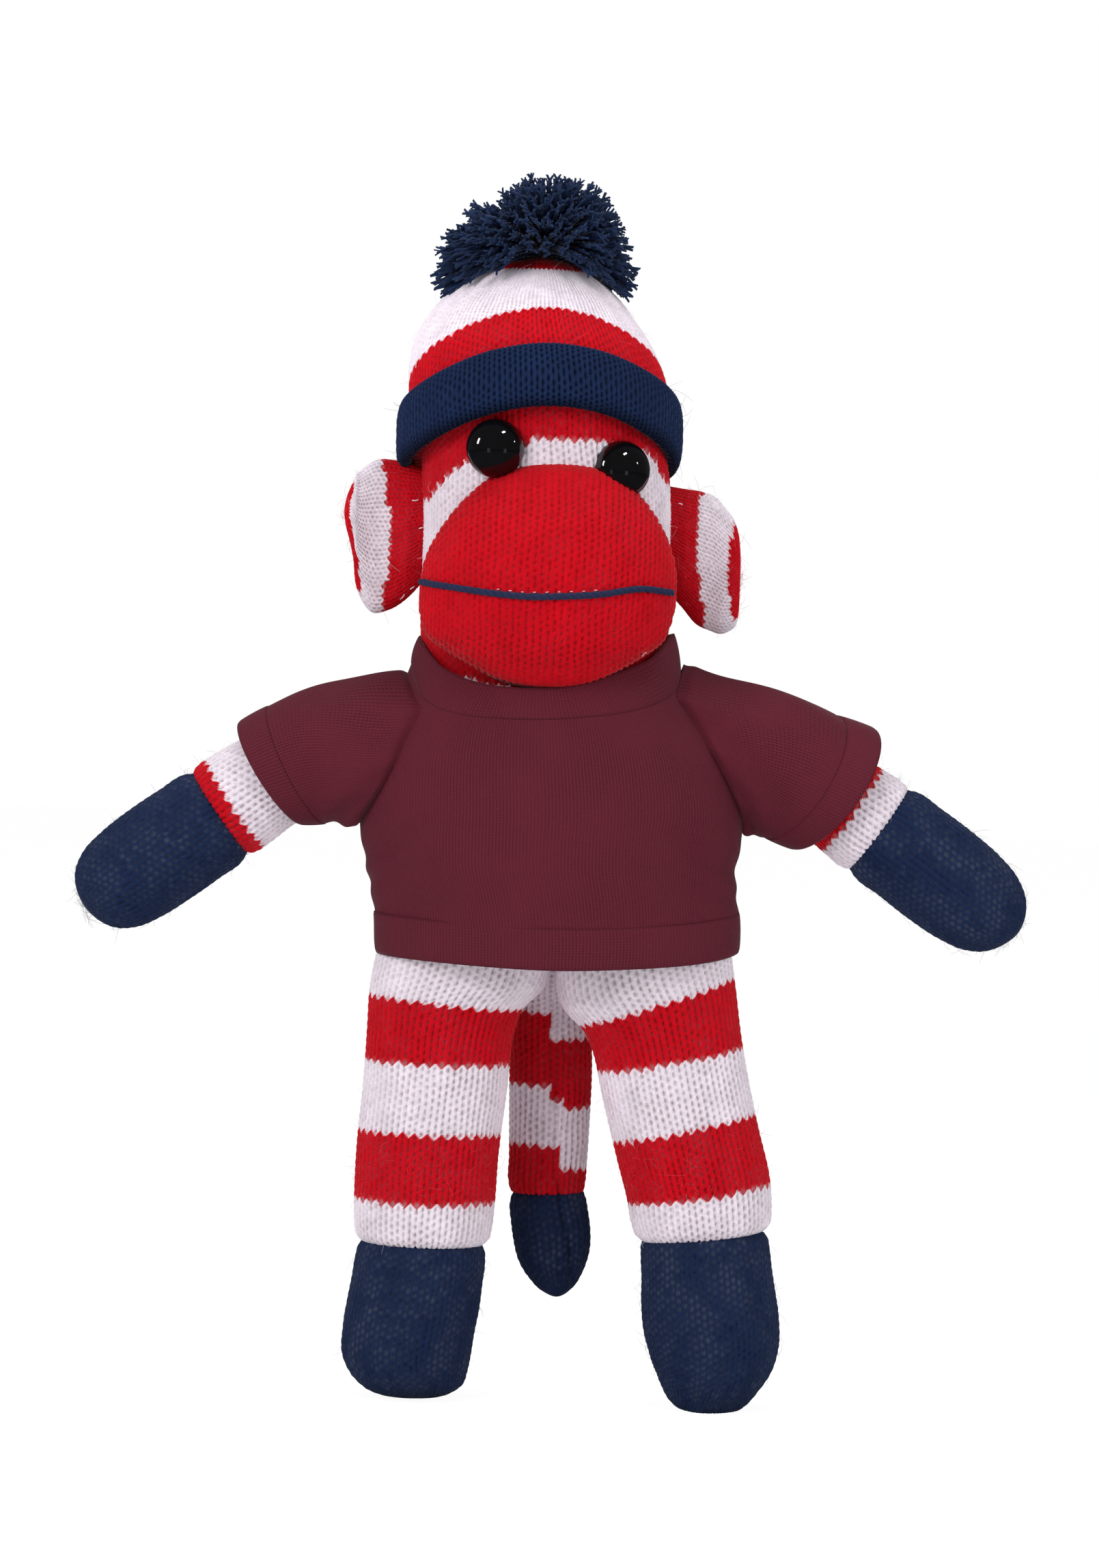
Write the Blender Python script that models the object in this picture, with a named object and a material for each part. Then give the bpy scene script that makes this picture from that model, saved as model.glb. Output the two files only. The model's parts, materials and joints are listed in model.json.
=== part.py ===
"""A knitted sock monkey with a bobble hat and a jersey shirt, standing.

Metres, +Z up. The monkey faces -Y, so its own left side is at +X.
The floor is Z = 0, under both feet.
Stuffed pieces are a knitted skin over a filling, shaped as an oval section
carried along a path. Each limb has a round root that turns in a hollow of the body.
"""

import math

import bmesh
import bpy
from mathutils import Matrix, Vector

# Cloth and clearances
GAP = 0.0003
KNIT = 0.0012
JERSEY = 0.0009
BAND = 0.0016
OVERRUN = 0.030
CUT_RISE = 0.003
NEEDLE = 0.00004
MIDDLE_SET = 0.0033

# Legs
HIP_HEIGHT = 0.0825
HIP_RADIUS = 0.0130
RIGHT_LEG_HALF_WIDTH = 0.0158
LEFT_LEG_HALF_WIDTH = 0.0165
RIGHT_LEG_LEAN = 0.0052
LEFT_LEG_LEAN = 0.0139
FOOT_FLAT = 0.0005
HIP_ACROSS_SHARES = (-0.607, 0.675)
BALL_SHARES = (0.86, 0.62, 0.33)
HIP_PROFILE_SHARES = (-1.0, -0.94, -0.78, -0.5, -0.17, 0.17, 0.5, 0.78, 0.94, 1.0)

# down, lean, width and depth, from the hip to the sole
RIGHT_LEG_SHARES = (
    (0.00, 0.00, 1.000, 1.00),
    (0.16, 0.17, 0.985, 1.00),
    (0.34, 0.40, 0.975, 1.00),
    (0.48, 0.46, 0.960, 0.99),
    (0.56, 0.48, 0.925, 0.96),
    (0.59, 0.50, 0.885, 0.93),
    (0.67, 0.62, 0.890, 0.96),
    (0.81, 0.93, 0.920, 1.00),
    (0.91, 1.00, 0.900, 0.98),
    (0.96, 0.90, 0.810, 0.92),
    (1.00, 0.76, 0.660, 0.76),
)
LEFT_LEG_SHARES = (
    (0.00, 0.00, 1.000, 1.00),
    (0.14, 0.19, 0.980, 1.00),
    (0.29, 0.42, 0.975, 1.00),
    (0.42, 0.64, 0.965, 1.00),
    (0.51, 0.74, 0.880, 0.95),
    (0.54, 0.76, 0.830, 0.92),
    (0.63, 0.82, 0.860, 0.96),
    (0.75, 0.89, 0.900, 1.00),
    (0.86, 1.00, 0.845, 0.98),
    (0.94, 0.96, 0.740, 0.90),
    (1.00, 0.90, 0.560, 0.74),
)
ANKLE_ROW = 8

# Body
TORSO_LIFT = 0.0040
TORSO_TALL = 0.0695
TORSO_HALF_WIDTH = 0.0382
TORSO_HALF_DEPTH = 0.0248
TORSO_LEAN = 0.0040
# up, lean, forward, width and depth, from the seat to the neck
TORSO_SHARES = (
    (0.000, 0.90, -0.42, 0.00, 0.00),
    (0.012, 0.90, -0.41, 0.42, 0.26),
    (0.080, 0.90, -0.32, 0.84, 0.47),
    (0.137, 0.90, -0.07, 0.94, 0.76),
    (0.195, 0.88, 0.00, 0.97, 0.87),
    (0.345, 0.74, 0.03, 0.985, 0.95),
    (0.495, 0.50, 0.04, 0.975, 0.99),
    (0.615, 0.35, 0.03, 0.880, 1.00),
    (0.760, 0.14, 0.01, 0.800, 0.99),
    (0.885, 0.02, 0.00, 0.720, 0.94),
    (0.955, 0.00, 0.00, 0.570, 0.75),
    (1.000, 0.00, 0.00, 0.345, 0.49),
)
TORSO_MIDDLE = -0.0025

# Shirt
SHIRT_EASE = 0.0012
HEM_CLEARANCE = 0.0006
HEM_TALL = 0.0088
HEM_SIDE_RISE = 0.0033
HEM_TILT = 0.0013
SHIRT_ROWS_SHARES = (0.42, 0.51, 0.57, 0.64, 0.72, 0.80)
COLLAR_EASE = 0.0018
COLLAR_DEPTH_EASE = 0.0048
COLLAR_FRONT_SHARE = 0.863
COLLAR_BACK_RISE = 0.0080
COLLAR_FRONT_TALL = 0.0095
COLLAR_SIDE_TALL = 0.0073
COLLAR_SET = 0.0010
COLLAR_FLARE = 0.0008
BAND_SHARES = (0.0, 0.5, 1.0)

# Arms and sleeves
SHOULDER_ACROSS_SHARES = (-0.916, 0.825)
SHOULDER_UP_SHARES = (0.813, 0.846)
ARM_HALF_WIDTH = 0.0110
ARM_ROOT_RADIUS = 0.0095
RIGHT_ARM_REACH = 0.0669
RIGHT_ARM_DROP = 0.0375
LEFT_ARM_REACH = 0.0713
LEFT_ARM_DROP = 0.0369
RIGHT_SLEEVE_RADIUS = 0.0153
LEFT_SLEEVE_RADIUS = 0.0158
RIGHT_CUFF_EASE = 0.0023
LEFT_CUFF_EASE = 0.0048
ARM_DROP_DEG = 20.0
# reach, drop and width, from the shoulder to the finger tip
ARM_SHARES = (
    (0.000, 0.000, 0.870),
    (0.120, 0.027, 0.900),
    (0.232, 0.080, 0.920),
    (0.329, 0.144, 0.940),
    (0.419, 0.216, 0.960),
    (0.508, 0.325, 0.990),
    (0.578, 0.416, 1.000),
    (0.673, 0.547, 1.000),
    (0.762, 0.672, 0.990),
    (0.852, 0.797, 0.950),
    (0.919, 0.891, 0.830),
    (0.969, 0.957, 0.560),
    (1.000, 1.000, 0.000),
)
CUFF_FIRST_ROW = 2.75
CUFF_LAST_ROW = 4
CUFF_FIT_SHARE = 0.96
WRIST_ROW = 6

# Tail
TAIL_RISE = 0.0043
TAIL_LENGTH = 0.0625
TAIL_HALF_WIDTH = 0.0083
TAIL_HALF_DEPTH = 0.0075
TAIL_LEAN = 0.0052
# down, lean and width, from the seat to the tip
TAIL_SHARES = (
    (0.00, 0.00, 1.00),
    (0.12, 0.05, 1.02),
    (0.29, 0.19, 1.02),
    (0.47, 0.34, 1.01),
    (0.64, 0.46, 1.00),
    (0.76, 0.56, 0.99),
    (0.85, 0.64, 0.97),
    (0.91, 0.78, 0.84),
    (0.96, 0.91, 0.62),
    (0.99, 0.98, 0.34),
    (1.00, 1.00, 0.00),
)
TAIL_TIP_ROW = 7

# Neck and head
NECK_RADIUS = 0.0125
NECK_RISE = 0.0010
NECK_SET = 0.0015
NECK_DOWN = 0.0080
HEAD_CLEARANCE = 0.0040
HEAD_TALL = 0.0900
HEAD_HALF_WIDTH = 0.0277
HEAD_HALF_DEPTH = 0.0240
HEAD_SET = 0.0020
HEAD_LEAN = 0.0044
# up, lean, width and depth, from the neck to the crown
HEAD_SHARES = (
    (0.000, 0.00, 0.540, 0.560),
    (0.025, 0.02, 0.810, 0.780),
    (0.085, 0.06, 0.965, 0.930),
    (0.220, 0.17, 0.990, 0.995),
    (0.365, 0.33, 1.000, 1.000),
    (0.490, 0.62, 0.978, 0.985),
    (0.600, 0.87, 0.945, 0.955),
    (0.690, 0.96, 0.940, 0.935),
    (0.790, 1.00, 0.885, 0.870),
    (0.875, 1.02, 0.770, 0.760),
    (0.940, 1.02, 0.600, 0.600),
    (0.980, 1.02, 0.370, 0.380),
    (1.000, 1.02, 0.000, 0.000),
)

# Muzzle and mouth
MUZZLE_HALF_WIDTH = 0.0276
MUZZLE_HALF_TALL = 0.0208
MUZZLE_REACH = 0.0385
MUZZLE_UP_SHARE = 0.240
MUZZLE_ACROSS = -0.0032
# up, width and forward, from the chin to the bridge
MUZZLE_SHARES = (
    (-1.00, 0.00, 0.20),
    (-0.94, 0.40, 0.47),
    (-0.77, 0.73, 0.75),
    (-0.45, 0.94, 0.95),
    (-0.08, 1.00, 1.00),
    (0.30, 0.97, 0.96),
    (0.64, 0.80, 0.83),
    (0.87, 0.52, 0.66),
    (0.97, 0.28, 0.54),
    (1.00, 0.00, 0.46),
)
MOUTH_YARN_RADIUS = 0.0007
MOUTH_ROW = 4.12
MOUTH_SAG_ROWS = 0.38
MOUTH_SPREAD_DEG = 68.0
MOUTH_STEPS = 14

# Eyes
EYE_RADIUS = 0.0060
EYE_TALL = 0.0036
EYE_RIM = 0.0008
EYE_POST = 0.0018
EYE_POST_LONG = 0.0095
EYE_POST_RIB = 0.0003
EYE_RIB_SHARES = (0.1, 0.3, 0.5)
EYE_RIB_TALL_SHARE = 0.05
WASHER_RADIUS = 0.0062
WASHER_THICK = 0.0012
WASHER_SETBACK = 0.0012
EYE_ACROSS_SHARES = (-0.375, 0.665)
EYE_UP_SHARES = (0.553, 0.530)
EYE_FACE_SHARE = 0.08

# Hat
BRIM_TALL = 0.0138
BRIM_THICK = 0.0030
BRIM_FRONT_SHARE = 0.748
BRIM_DROP = 0.0130
BRIM_LEAN = 0.0009
HAT_EDGE_TUCK = 0.0008
HAT_EASE = 0.0008
HAT_SHARES = (0.0, 0.18, 0.38, 0.56, 0.73, 0.87, 0.955)
# up and bulge, over the outside of the rolled brim and then down its back
BRIM_SHARES = (
    (-0.50, 0.34),
    (-0.40, 0.85),
    (0.00, 1.00),
    (0.40, 0.85),
    (0.50, 0.34),
    (0.50, 0.00),
    (0.00, 0.00),
    (-0.50, 0.00),
)
POMPOM_HALF_WIDTH = 0.0232
POMPOM_HALF_DEPTH = 0.0205
POMPOM_HALF_TALL = 0.0140
POMPOM_RISE = 0.0062
POMPOM_ACROSS = -0.0022
POMPOM_TIE = 0.0026
POMPOM_TIE_TALL = 0.0050
# up and width, from the hat to the top of the knot
POMPOM_TIE_SHARES = (
    (0.0, 1.0),
    (0.3, 1.0),
    (0.5, 0.62),
    (0.7, 1.0),
    (1.0, 1.0),
)
# up and width, from the underside to the top
POMPOM_SHARES = (
    (-1.00, 0.00),
    (-0.96, 0.42),
    (-0.82, 0.72),
    (-0.52, 0.94),
    (-0.10, 1.00),
    (0.30, 0.96),
    (0.64, 0.80),
    (0.88, 0.52),
    (0.97, 0.28),
    (1.00, 0.00),
)

# Ears
EAR_THICK = 0.0042
EAR_ROOT = 0.0022
EAR_CUP = 0.0042
EAR_CURL = 0.0014
EAR_SET = 0.0012
RIGHT_EAR_WIDE = 0.0146
LEFT_EAR_WIDE = 0.0124
RIGHT_EAR_HALF_TALL = 0.0166
LEFT_EAR_HALF_TALL = 0.0147
EAR_UP_SHARES = (0.330, 0.305)
# out, rise and height, from the seam to the rim
RIGHT_EAR_SHARES = (
    (0.00, -0.16, 0.66),
    (0.16, -0.18, 0.76),
    (0.34, -0.10, 0.90),
    (0.54, 0.00, 1.00),
    (0.74, 0.10, 0.86),
    (0.89, 0.20, 0.56),
    (0.97, 0.26, 0.28),
    (1.00, 0.28, 0.00),
)
LEFT_EAR_SHARES = (
    (0.00, 0.10, 0.80),
    (0.18, 0.06, 0.91),
    (0.38, 0.00, 0.98),
    (0.60, -0.10, 1.00),
    (0.80, -0.22, 0.86),
    (0.93, -0.30, 0.58),
    (0.985, -0.34, 0.30),
    (1.00, -0.36, 0.00),
)

# Roundness
BODY_SIDES = 20
LIMB_SIDES = 14
TAIL_SIDES = 12
ROUND_SIDES = 14
BALL_RINGS = 10
YARN_SIDES = 6
EYE_RINGS = 5
SIDES = (-1, 1)
NAMES = {-1: "right", 1: "left"}
SEAM = {-1: 0, 1: 1}

HEAD_PIECES = (
    "head_skin",
    "head_filling",
    "muzzle_skin",
    "muzzle_filling",
    "mouth_yarn",
    "eye_right",
    "eye_left",
    "eye_washer_right",
    "eye_washer_left",
    "hat_crown",
    "hat_brim",
    "pompom",
    "pompom_tie",
)

# Colours
RED = (0.60, 0.012, 0.022, 1.0)
WHITE = (0.80, 0.77, 0.84, 1.0)
NAVY = (0.020, 0.045, 0.120, 1.0)
MAROON = (0.120, 0.022, 0.032, 1.0)
STUFFING = (0.78, 0.78, 0.76, 1.0)
BLACK = (0.004, 0.004, 0.005, 1.0)


def clear_scene():
    for item in list(bpy.data.objects):
        bpy.data.objects.remove(item, do_unlink=True)


def surface(name, colour, roughness=0.9):
    made = bpy.data.materials.new(name)
    made.use_nodes = True
    node = made.node_tree.nodes["Principled BSDF"]
    node.inputs["Base Color"].default_value = colour
    node.inputs["Roughness"].default_value = roughness
    node.inputs["Metallic"].default_value = 0.0
    made.diffuse_color = colour
    return made


def red_knit(name):
    return surface(name, RED)


def white_knit(name):
    return surface(name, WHITE)


def navy_knit(name):
    return surface(name, NAVY)


def maroon_jersey(name):
    return surface(name, MAROON, 0.95)


def filling_fibre(name):
    return surface(name, STUFFING, 1.0)


def black_gloss(name):
    return surface(name, BLACK, 0.08)


# Smooth forms

def steepness(values, index):
    """The slope at a row that keeps the curve from overshooting its neighbours."""
    if index == 0:
        return values[1] - values[0]
    if index == len(values) - 1:
        return values[-1] - values[-2]
    before = values[index] - values[index - 1]
    after = values[index + 1] - values[index]
    if before * after <= 0:
        return 0.0
    return 2.0 * before * after / (before + after)


def between(values, row):
    """The value of a column of rows at a row number that may be a fraction."""
    low = min(max(int(math.floor(row)), 0), len(values) - 2)
    part = row - low
    if part < 0 or part > 1:
        return values[low] + (values[low + 1] - values[low]) * part
    start = steepness(values, low)
    finish = steepness(values, low + 1)
    square = part * part
    cube = square * part
    first = (2 * cube - 3 * square + 1) * values[low]
    second = (cube - 2 * square + part) * start
    third = (3 * square - 2 * cube) * values[low + 1]
    fourth = (cube - square) * finish
    return first + second + third + fourth


class Form:
    """An oval section carried along a path of rows: middle, half width, half depth."""

    def __init__(self, rows, level=False, sideways=0):
        self.rows = rows
        self.level = level
        self.sideways = sideways
        self.last = len(rows) - 1
        self.middles = [[row[0][axis] for row in rows] for axis in range(3)]
        self.widths = [row[1] for row in rows]
        self.depths = [row[2] for row in rows]

    def middle(self, row):
        return Vector([between(column, row) for column in self.middles])

    def heading(self, row):
        if self.sideways:
            return Vector((self.sideways, 0, 0))
        if self.level:
            return Vector((0, 0, 1 if self.rows[-1][0][2] > self.rows[0][0][2] else -1))
        low = max(row - 0.5, 0)
        high = min(row + 0.5, self.last)
        return (self.middle(high) - self.middle(low)).normalized()

    def bare(self, turn, row):
        forward = Vector((0, -1, 0))
        across = forward.cross(self.heading(row)).normalized()
        if across.x < 0 or (abs(across.x) < 0.01 and across.z < 0):
            across = -across
        width = between(self.widths, row) * math.cos(turn)
        depth = between(self.depths, row) * math.sin(turn)
        return self.middle(row) + across * width - forward * depth

    def normal(self, turn, row):
        step = 0.02
        low = max(row - step, 0)
        high = min(row + step, self.last)
        along = self.bare(turn, high) - self.bare(turn, low)
        around = self.bare(turn + step, row) - self.bare(turn - step, row)
        out = around.cross(along)
        if out.length == 0:
            return self.heading(row) * (1 if row > 0.5 * self.last else -1)
        out.normalize()
        if out.dot(self.bare(turn, row) - self.middle(row)) < 0:
            out = -out
        return out

    def at(self, turn, row, out=0.0):
        """A point of the surface, moved out along the surface's normal."""
        if self.tip(row):
            end = 1 if row > 0.5 * self.last else -1
            return self.middle(row) + self.heading(row) * (end * out)
        return self.bare(turn, row) + self.normal(turn, row) * out

    def tip(self, row):
        return between(self.widths, row) == 0

    def row_at(self, height):
        """The row number of a height, for forms whose rows climb steadily."""
        heights = self.middles[2]
        for low in range(self.last):
            if heights[low] <= height <= heights[low + 1]:
                return low + (height - heights[low]) / (heights[low + 1] - heights[low])
        return 0 if height < heights[0] else self.last


def turns(sides):
    return [2 * math.pi * index / sides for index in range(sides)]


def add_object(name, mesh, material):
    made = bpy.data.objects.new(name, mesh)
    bpy.context.scene.collection.objects.link(made)
    if material:
        mesh.materials.append(material)
    return made


def finish(name, work, material):
    """Turns a bmesh into a named, smoothly shaded object with its faces out."""
    bmesh.ops.recalc_face_normals(work, faces=work.faces)
    if work.calc_volume(signed=True) < 0:
        bmesh.ops.reverse_faces(work, faces=work.faces)
    mesh = bpy.data.meshes.new(name)
    work.to_mesh(mesh)
    work.free()
    mesh.shade_smooth()
    mesh.set_sharp_from_angle(angle=math.radians(50))
    return add_object(name, mesh, material)


def ring_of(work, points):
    return [work.verts.new(point) for point in points]


def join_rings(work, first, second):
    count = len(first)
    for index in range(count):
        after = (index + 1) % count
        work.faces.new((first[index], first[after], second[after], second[index]))


def close_ring(work, ring, pole):
    point = work.verts.new(pole)
    for index in range(len(ring)):
        work.faces.new((ring[index], ring[(index + 1) % len(ring)], point))


def average(ring):
    return sum((point.co for point in ring), Vector()) / len(ring)


def spread(form, first, last):
    """The row numbers of a form from first to last, whole rows between them."""
    whole = [row for row in range(math.ceil(first), math.floor(last) + 1)]
    if not whole or whole[0] - first > 0.2:
        whole.insert(0, first)
    else:
        whole[0] = first
    if last - whole[-1] > 0.2:
        whole.append(last)
    else:
        whole[-1] = last
    return whole


def lay_wall(work, outer, inner):
    """Closes a wall between two sets of rings: round a tip, or over an open rim."""
    outer_rings = [ring_of(work, ring) for ring in outer["rings"]]
    inner_rings = [ring_of(work, ring) for ring in inner["rings"]]
    for index in range(len(outer_rings) - 1):
        join_rings(work, outer_rings[index], outer_rings[index + 1])
        join_rings(work, inner_rings[index], inner_rings[index + 1])
    for end, index in (("start", 0), ("end", -1)):
        if outer.get(end) is None:
            join_rings(work, outer_rings[index], inner_rings[index])
        else:
            close_ring(work, outer_rings[index], outer[end])
            close_ring(work, inner_rings[index], inner[end])


def rings_of(form, rows, sides, out):
    made = {"rings": [], "start": None, "end": None}
    for row in rows:
        if not form.tip(row):
            made["rings"].append([form.at(turn, row, out) for turn in turns(sides)])
        elif row < form.last / 2:
            made["start"] = form.at(0, row, out)
        else:
            made["end"] = form.at(0, row, out)
    return made


def skin(name, form, first, last, material, sides=LIMB_SIDES, out=0.0, thick=KNIT):
    """A hollow skin over some rows of a form, open where the form goes on."""
    work = bmesh.new()
    rows = spread(form, first, last)
    outer = rings_of(form, rows, sides, out)
    inner = rings_of(form, rows, sides, out - thick)
    lay_wall(work, outer, inner)
    return finish(name, work, material)


def body_of(name, form, first, last, material, sides=LIMB_SIDES, out=0.0):
    """A solid over some rows of a form, closed flat where the form goes on."""
    work = bmesh.new()
    rows = spread(form, first, last)
    made = rings_of(form, rows, sides, out)
    rings = [ring_of(work, ring) for ring in made["rings"]]
    for index in range(len(rings) - 1):
        join_rings(work, rings[index], rings[index + 1])
    close_ring(work, rings[0], made["start"] or average(rings[0]))
    close_ring(work, rings[-1], made["end"] or average(rings[-1]))
    return finish(name, work, material)


def tidy(mesh):
    """Drops the needle edges that a cut leaves where two surfaces nearly meet."""
    work = bmesh.new()
    work.from_mesh(mesh)
    bmesh.ops.remove_doubles(work, verts=work.verts, dist=NEEDLE)
    bmesh.ops.dissolve_degenerate(work, edges=work.edges, dist=NEEDLE)
    work.to_mesh(mesh)
    work.free()


def settle(item):
    """Writes an object's evaluated shape into its own mesh."""
    bpy.context.view_layer.update()
    shaped = item.evaluated_get(bpy.context.evaluated_depsgraph_get())
    mesh = bpy.data.meshes.new_from_object(shaped)
    item.modifiers.clear()
    old = item.data
    item.data = mesh
    mesh.name = item.name
    bpy.data.meshes.remove(old)
    tidy(mesh)


def sound(mesh):
    """Whether a mesh has faces left and each of its edges joins two of them."""
    uses = {}
    for face in mesh.polygons:
        for key in face.edge_keys:
            uses[key] = uses.get(key, 0) + 1
    return len(mesh.polygons) > 0 and all(count == 2 for count in uses.values())


def cut(item, cutter):
    """Takes the cutter out of the item, by the second solver where the first one fails."""
    whole = item.data.copy()
    for solver in ("EXACT", "MANIFOLD"):
        change = item.modifiers.new("cut", "BOOLEAN")
        change.operation = "DIFFERENCE"
        change.solver = solver
        change.object = cutter
        settle(item)
        if sound(item.data):
            break
        item.data = whole.copy()
    bpy.data.objects.remove(cutter, do_unlink=True)


def turned(item, pivot, axis, degrees):
    turn = Matrix.Rotation(math.radians(degrees), 4, axis)
    item.data.transform(Matrix.Translation(pivot) @ turn @ Matrix.Translation(-pivot))
    return item


def place_origin(item, point):
    """Puts a moving piece's origin on its joint without moving its surface."""
    item.data.transform(Matrix.Translation(-point))
    item.location = point


def box(name, low, high):
    work = bmesh.new()
    bmesh.ops.create_cube(work, size=1.0)
    size = high - low
    middle = (high + low) / 2
    for point in work.verts:
        point.co = Vector([middle[axis] + point.co[axis] * size[axis] for axis in range(3)])
    return finish(name, work, None)


def lathe(name, profile, place, aim, material, sides=ROUND_SIDES):
    """A turned piece: (distance along the axis, radius) pairs, closed at both ends."""
    work = bmesh.new()
    rings = []
    ends = []
    for along, radius in profile:
        if radius == 0:
            ends.append(work.verts.new((0, 0, along)))
            continue
        ends.append(None)
        circle = [(radius * math.cos(t), radius * math.sin(t), along) for t in turns(sides)]
        rings.append(ring_of(work, circle))
    for index in range(len(rings) - 1):
        join_rings(work, rings[index], rings[index + 1])
    for ring, end in ((rings[0], ends[0]), (rings[-1], ends[-1])):
        for index in range(len(ring)):
            work.faces.new((ring[index], ring[(index + 1) % len(ring)], end))
    made = finish(name, work, material)
    made.data.transform(Matrix.Translation(place) @ aim.to_track_quat("Z", "Y").to_matrix().to_4x4())
    return made


# Places worked out from the sizes

def pick(side, right, left):
    return right if side < 0 else left


def torso_bottom():
    return HIP_HEIGHT + TORSO_LIFT


def torso_top():
    return torso_bottom() + TORSO_TALL


def hip(side):
    across = HIP_ACROSS_SHARES[SEAM[side]] * TORSO_HALF_WIDTH
    return Vector((across, 0, HIP_HEIGHT))


def shoulder(side):
    across = SHOULDER_ACROSS_SHARES[SEAM[side]] * TORSO_HALF_WIDTH
    up = torso_bottom() + SHOULDER_UP_SHARES[SEAM[side]] * TORSO_TALL
    return Vector((across, 0, up))


def tail_root():
    return Vector((0, HIP_RADIUS + TAIL_HALF_DEPTH, HIP_HEIGHT + TAIL_RISE))


def neck():
    return Vector((TORSO_MIDDLE, NECK_SET, torso_top() + NECK_RISE))


def head_bottom():
    return torso_top() + HEAD_CLEARANCE


def half_round(radius, share):
    return radius * math.sqrt(1 - share * share)


def leg_form(side):
    """The hip ball turns about X, so its sections shrink together above the hip."""
    root = hip(side)
    width = pick(side, RIGHT_LEG_HALF_WIDTH, LEFT_LEG_HALF_WIDTH)
    lean = side * pick(side, RIGHT_LEG_LEAN, LEFT_LEG_LEAN)
    table = pick(side, RIGHT_LEG_SHARES, LEFT_LEG_SHARES)
    rows = []
    for share in BALL_SHARES:
        up = root + Vector((0, 0, share * HIP_RADIUS))
        rows.append((up, half_round(width, share), half_round(HIP_RADIUS, share)))
    for down, side_share, wide, deep in table:
        fall = down * (HIP_HEIGHT + FOOT_FLAT)
        middle = root + Vector((side_share * lean, 0, -fall))
        rows.append((middle, wide * width, deep * HIP_RADIUS))
    return Form(rows, level=True)


def torso_form():
    rows = []
    for up, lean, forward, wide, deep in TORSO_SHARES:
        x = TORSO_MIDDLE + lean * TORSO_LEAN
        y = -forward * TORSO_HALF_DEPTH
        z = torso_bottom() + up * TORSO_TALL
        rows.append((Vector((x, y, z)), wide * TORSO_HALF_WIDTH, deep * TORSO_HALF_DEPTH))
    return Form(rows, level=True)


def arm_points(side):
    root = shoulder(side)
    reach = side * pick(side, RIGHT_ARM_REACH, LEFT_ARM_REACH)
    drop = pick(side, RIGHT_ARM_DROP, LEFT_ARM_DROP)
    return [root + Vector((out * reach, 0, -down * drop)) for out, down, wide in ARM_SHARES]


def arm_form(side):
    points = arm_points(side)
    back = (points[0] - points[1]).normalized()
    rows = []
    for share in BALL_SHARES:
        middle = points[0] + back * (share * ARM_ROOT_RADIUS)
        radius = half_round(ARM_ROOT_RADIUS, share)
        rows.append((middle, radius, radius))
    for point, (out, down, wide) in zip(points, ARM_SHARES):
        rows.append((point, wide * ARM_HALF_WIDTH, wide * ARM_HALF_WIDTH))
    return Form(rows)


def sleeve_form(side):
    """A ball about the shoulder, then a flat tube that lies on the arm, front and back."""
    points = arm_points(side)
    back = (points[0] - points[1]).normalized()
    ball = pick(side, RIGHT_SLEEVE_RADIUS, LEFT_SLEEVE_RADIUS)
    ease = pick(side, RIGHT_CUFF_EASE, LEFT_CUFF_EASE)
    mouth = ARM_HALF_WIDTH + ease
    flat = ARM_HALF_WIDTH * CUFF_FIT_SHARE + (BAND + JERSEY) / 2 + 2 * GAP
    rows = []
    for share in BALL_SHARES:
        rows.append((points[0] + back * (share * ball),) + (half_round(ball, share),) * 2)
    for index in range(CUFF_LAST_ROW + 2):
        part = index / CUFF_LAST_ROW
        rows.append((points[index], ball + (mouth - ball) * part, ball + (flat - ball) * part))
    return Form(rows)


def tail_form():
    root = tail_root()
    rows = []
    for share in BALL_SHARES:
        up = root + Vector((0, 0, share * TAIL_HALF_WIDTH))
        rows.append((up,) + (half_round(TAIL_HALF_WIDTH, share),) * 2)
    for down, side_share, wide in TAIL_SHARES:
        middle = root + Vector((side_share * TAIL_LEAN, 0, -down * TAIL_LENGTH))
        deep = TAIL_HALF_WIDTH if down == 0 else TAIL_HALF_DEPTH
        rows.append((middle, wide * TAIL_HALF_WIDTH, wide * deep))
    return Form(rows, level=True)


def head_form():
    rows = []
    for up, lean, wide, deep in HEAD_SHARES:
        x = TORSO_MIDDLE - lean * HEAD_LEAN
        z = head_bottom() + up * HEAD_TALL
        rows.append((Vector((x, HEAD_SET, z)), wide * HEAD_HALF_WIDTH, deep * HEAD_HALF_DEPTH))
    return Form(rows, level=True)


def muzzle_form():
    middle = head_bottom() + MUZZLE_UP_SHARE * HEAD_TALL
    rows = []
    for up, wide, forward in MUZZLE_SHARES:
        z = middle + up * MUZZLE_HALF_TALL
        reach = forward * MUZZLE_REACH
        half = wide * MUZZLE_REACH / 2
        rows.append((Vector((MUZZLE_ACROSS, HEAD_SET + half - reach, z)), wide * MUZZLE_HALF_WIDTH, half))
    return Form(rows, level=True)


def pompom_form():
    top = head_bottom() + HEAD_TALL + POMPOM_RISE
    x = TORSO_MIDDLE - HEAD_LEAN + POMPOM_ACROSS
    rows = []
    for up, wide in POMPOM_SHARES:
        middle = Vector((x, 0, top + up * POMPOM_HALF_TALL))
        rows.append((middle, wide * POMPOM_HALF_WIDTH, wide * POMPOM_HALF_DEPTH))
    return Form(rows, level=True)


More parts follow.
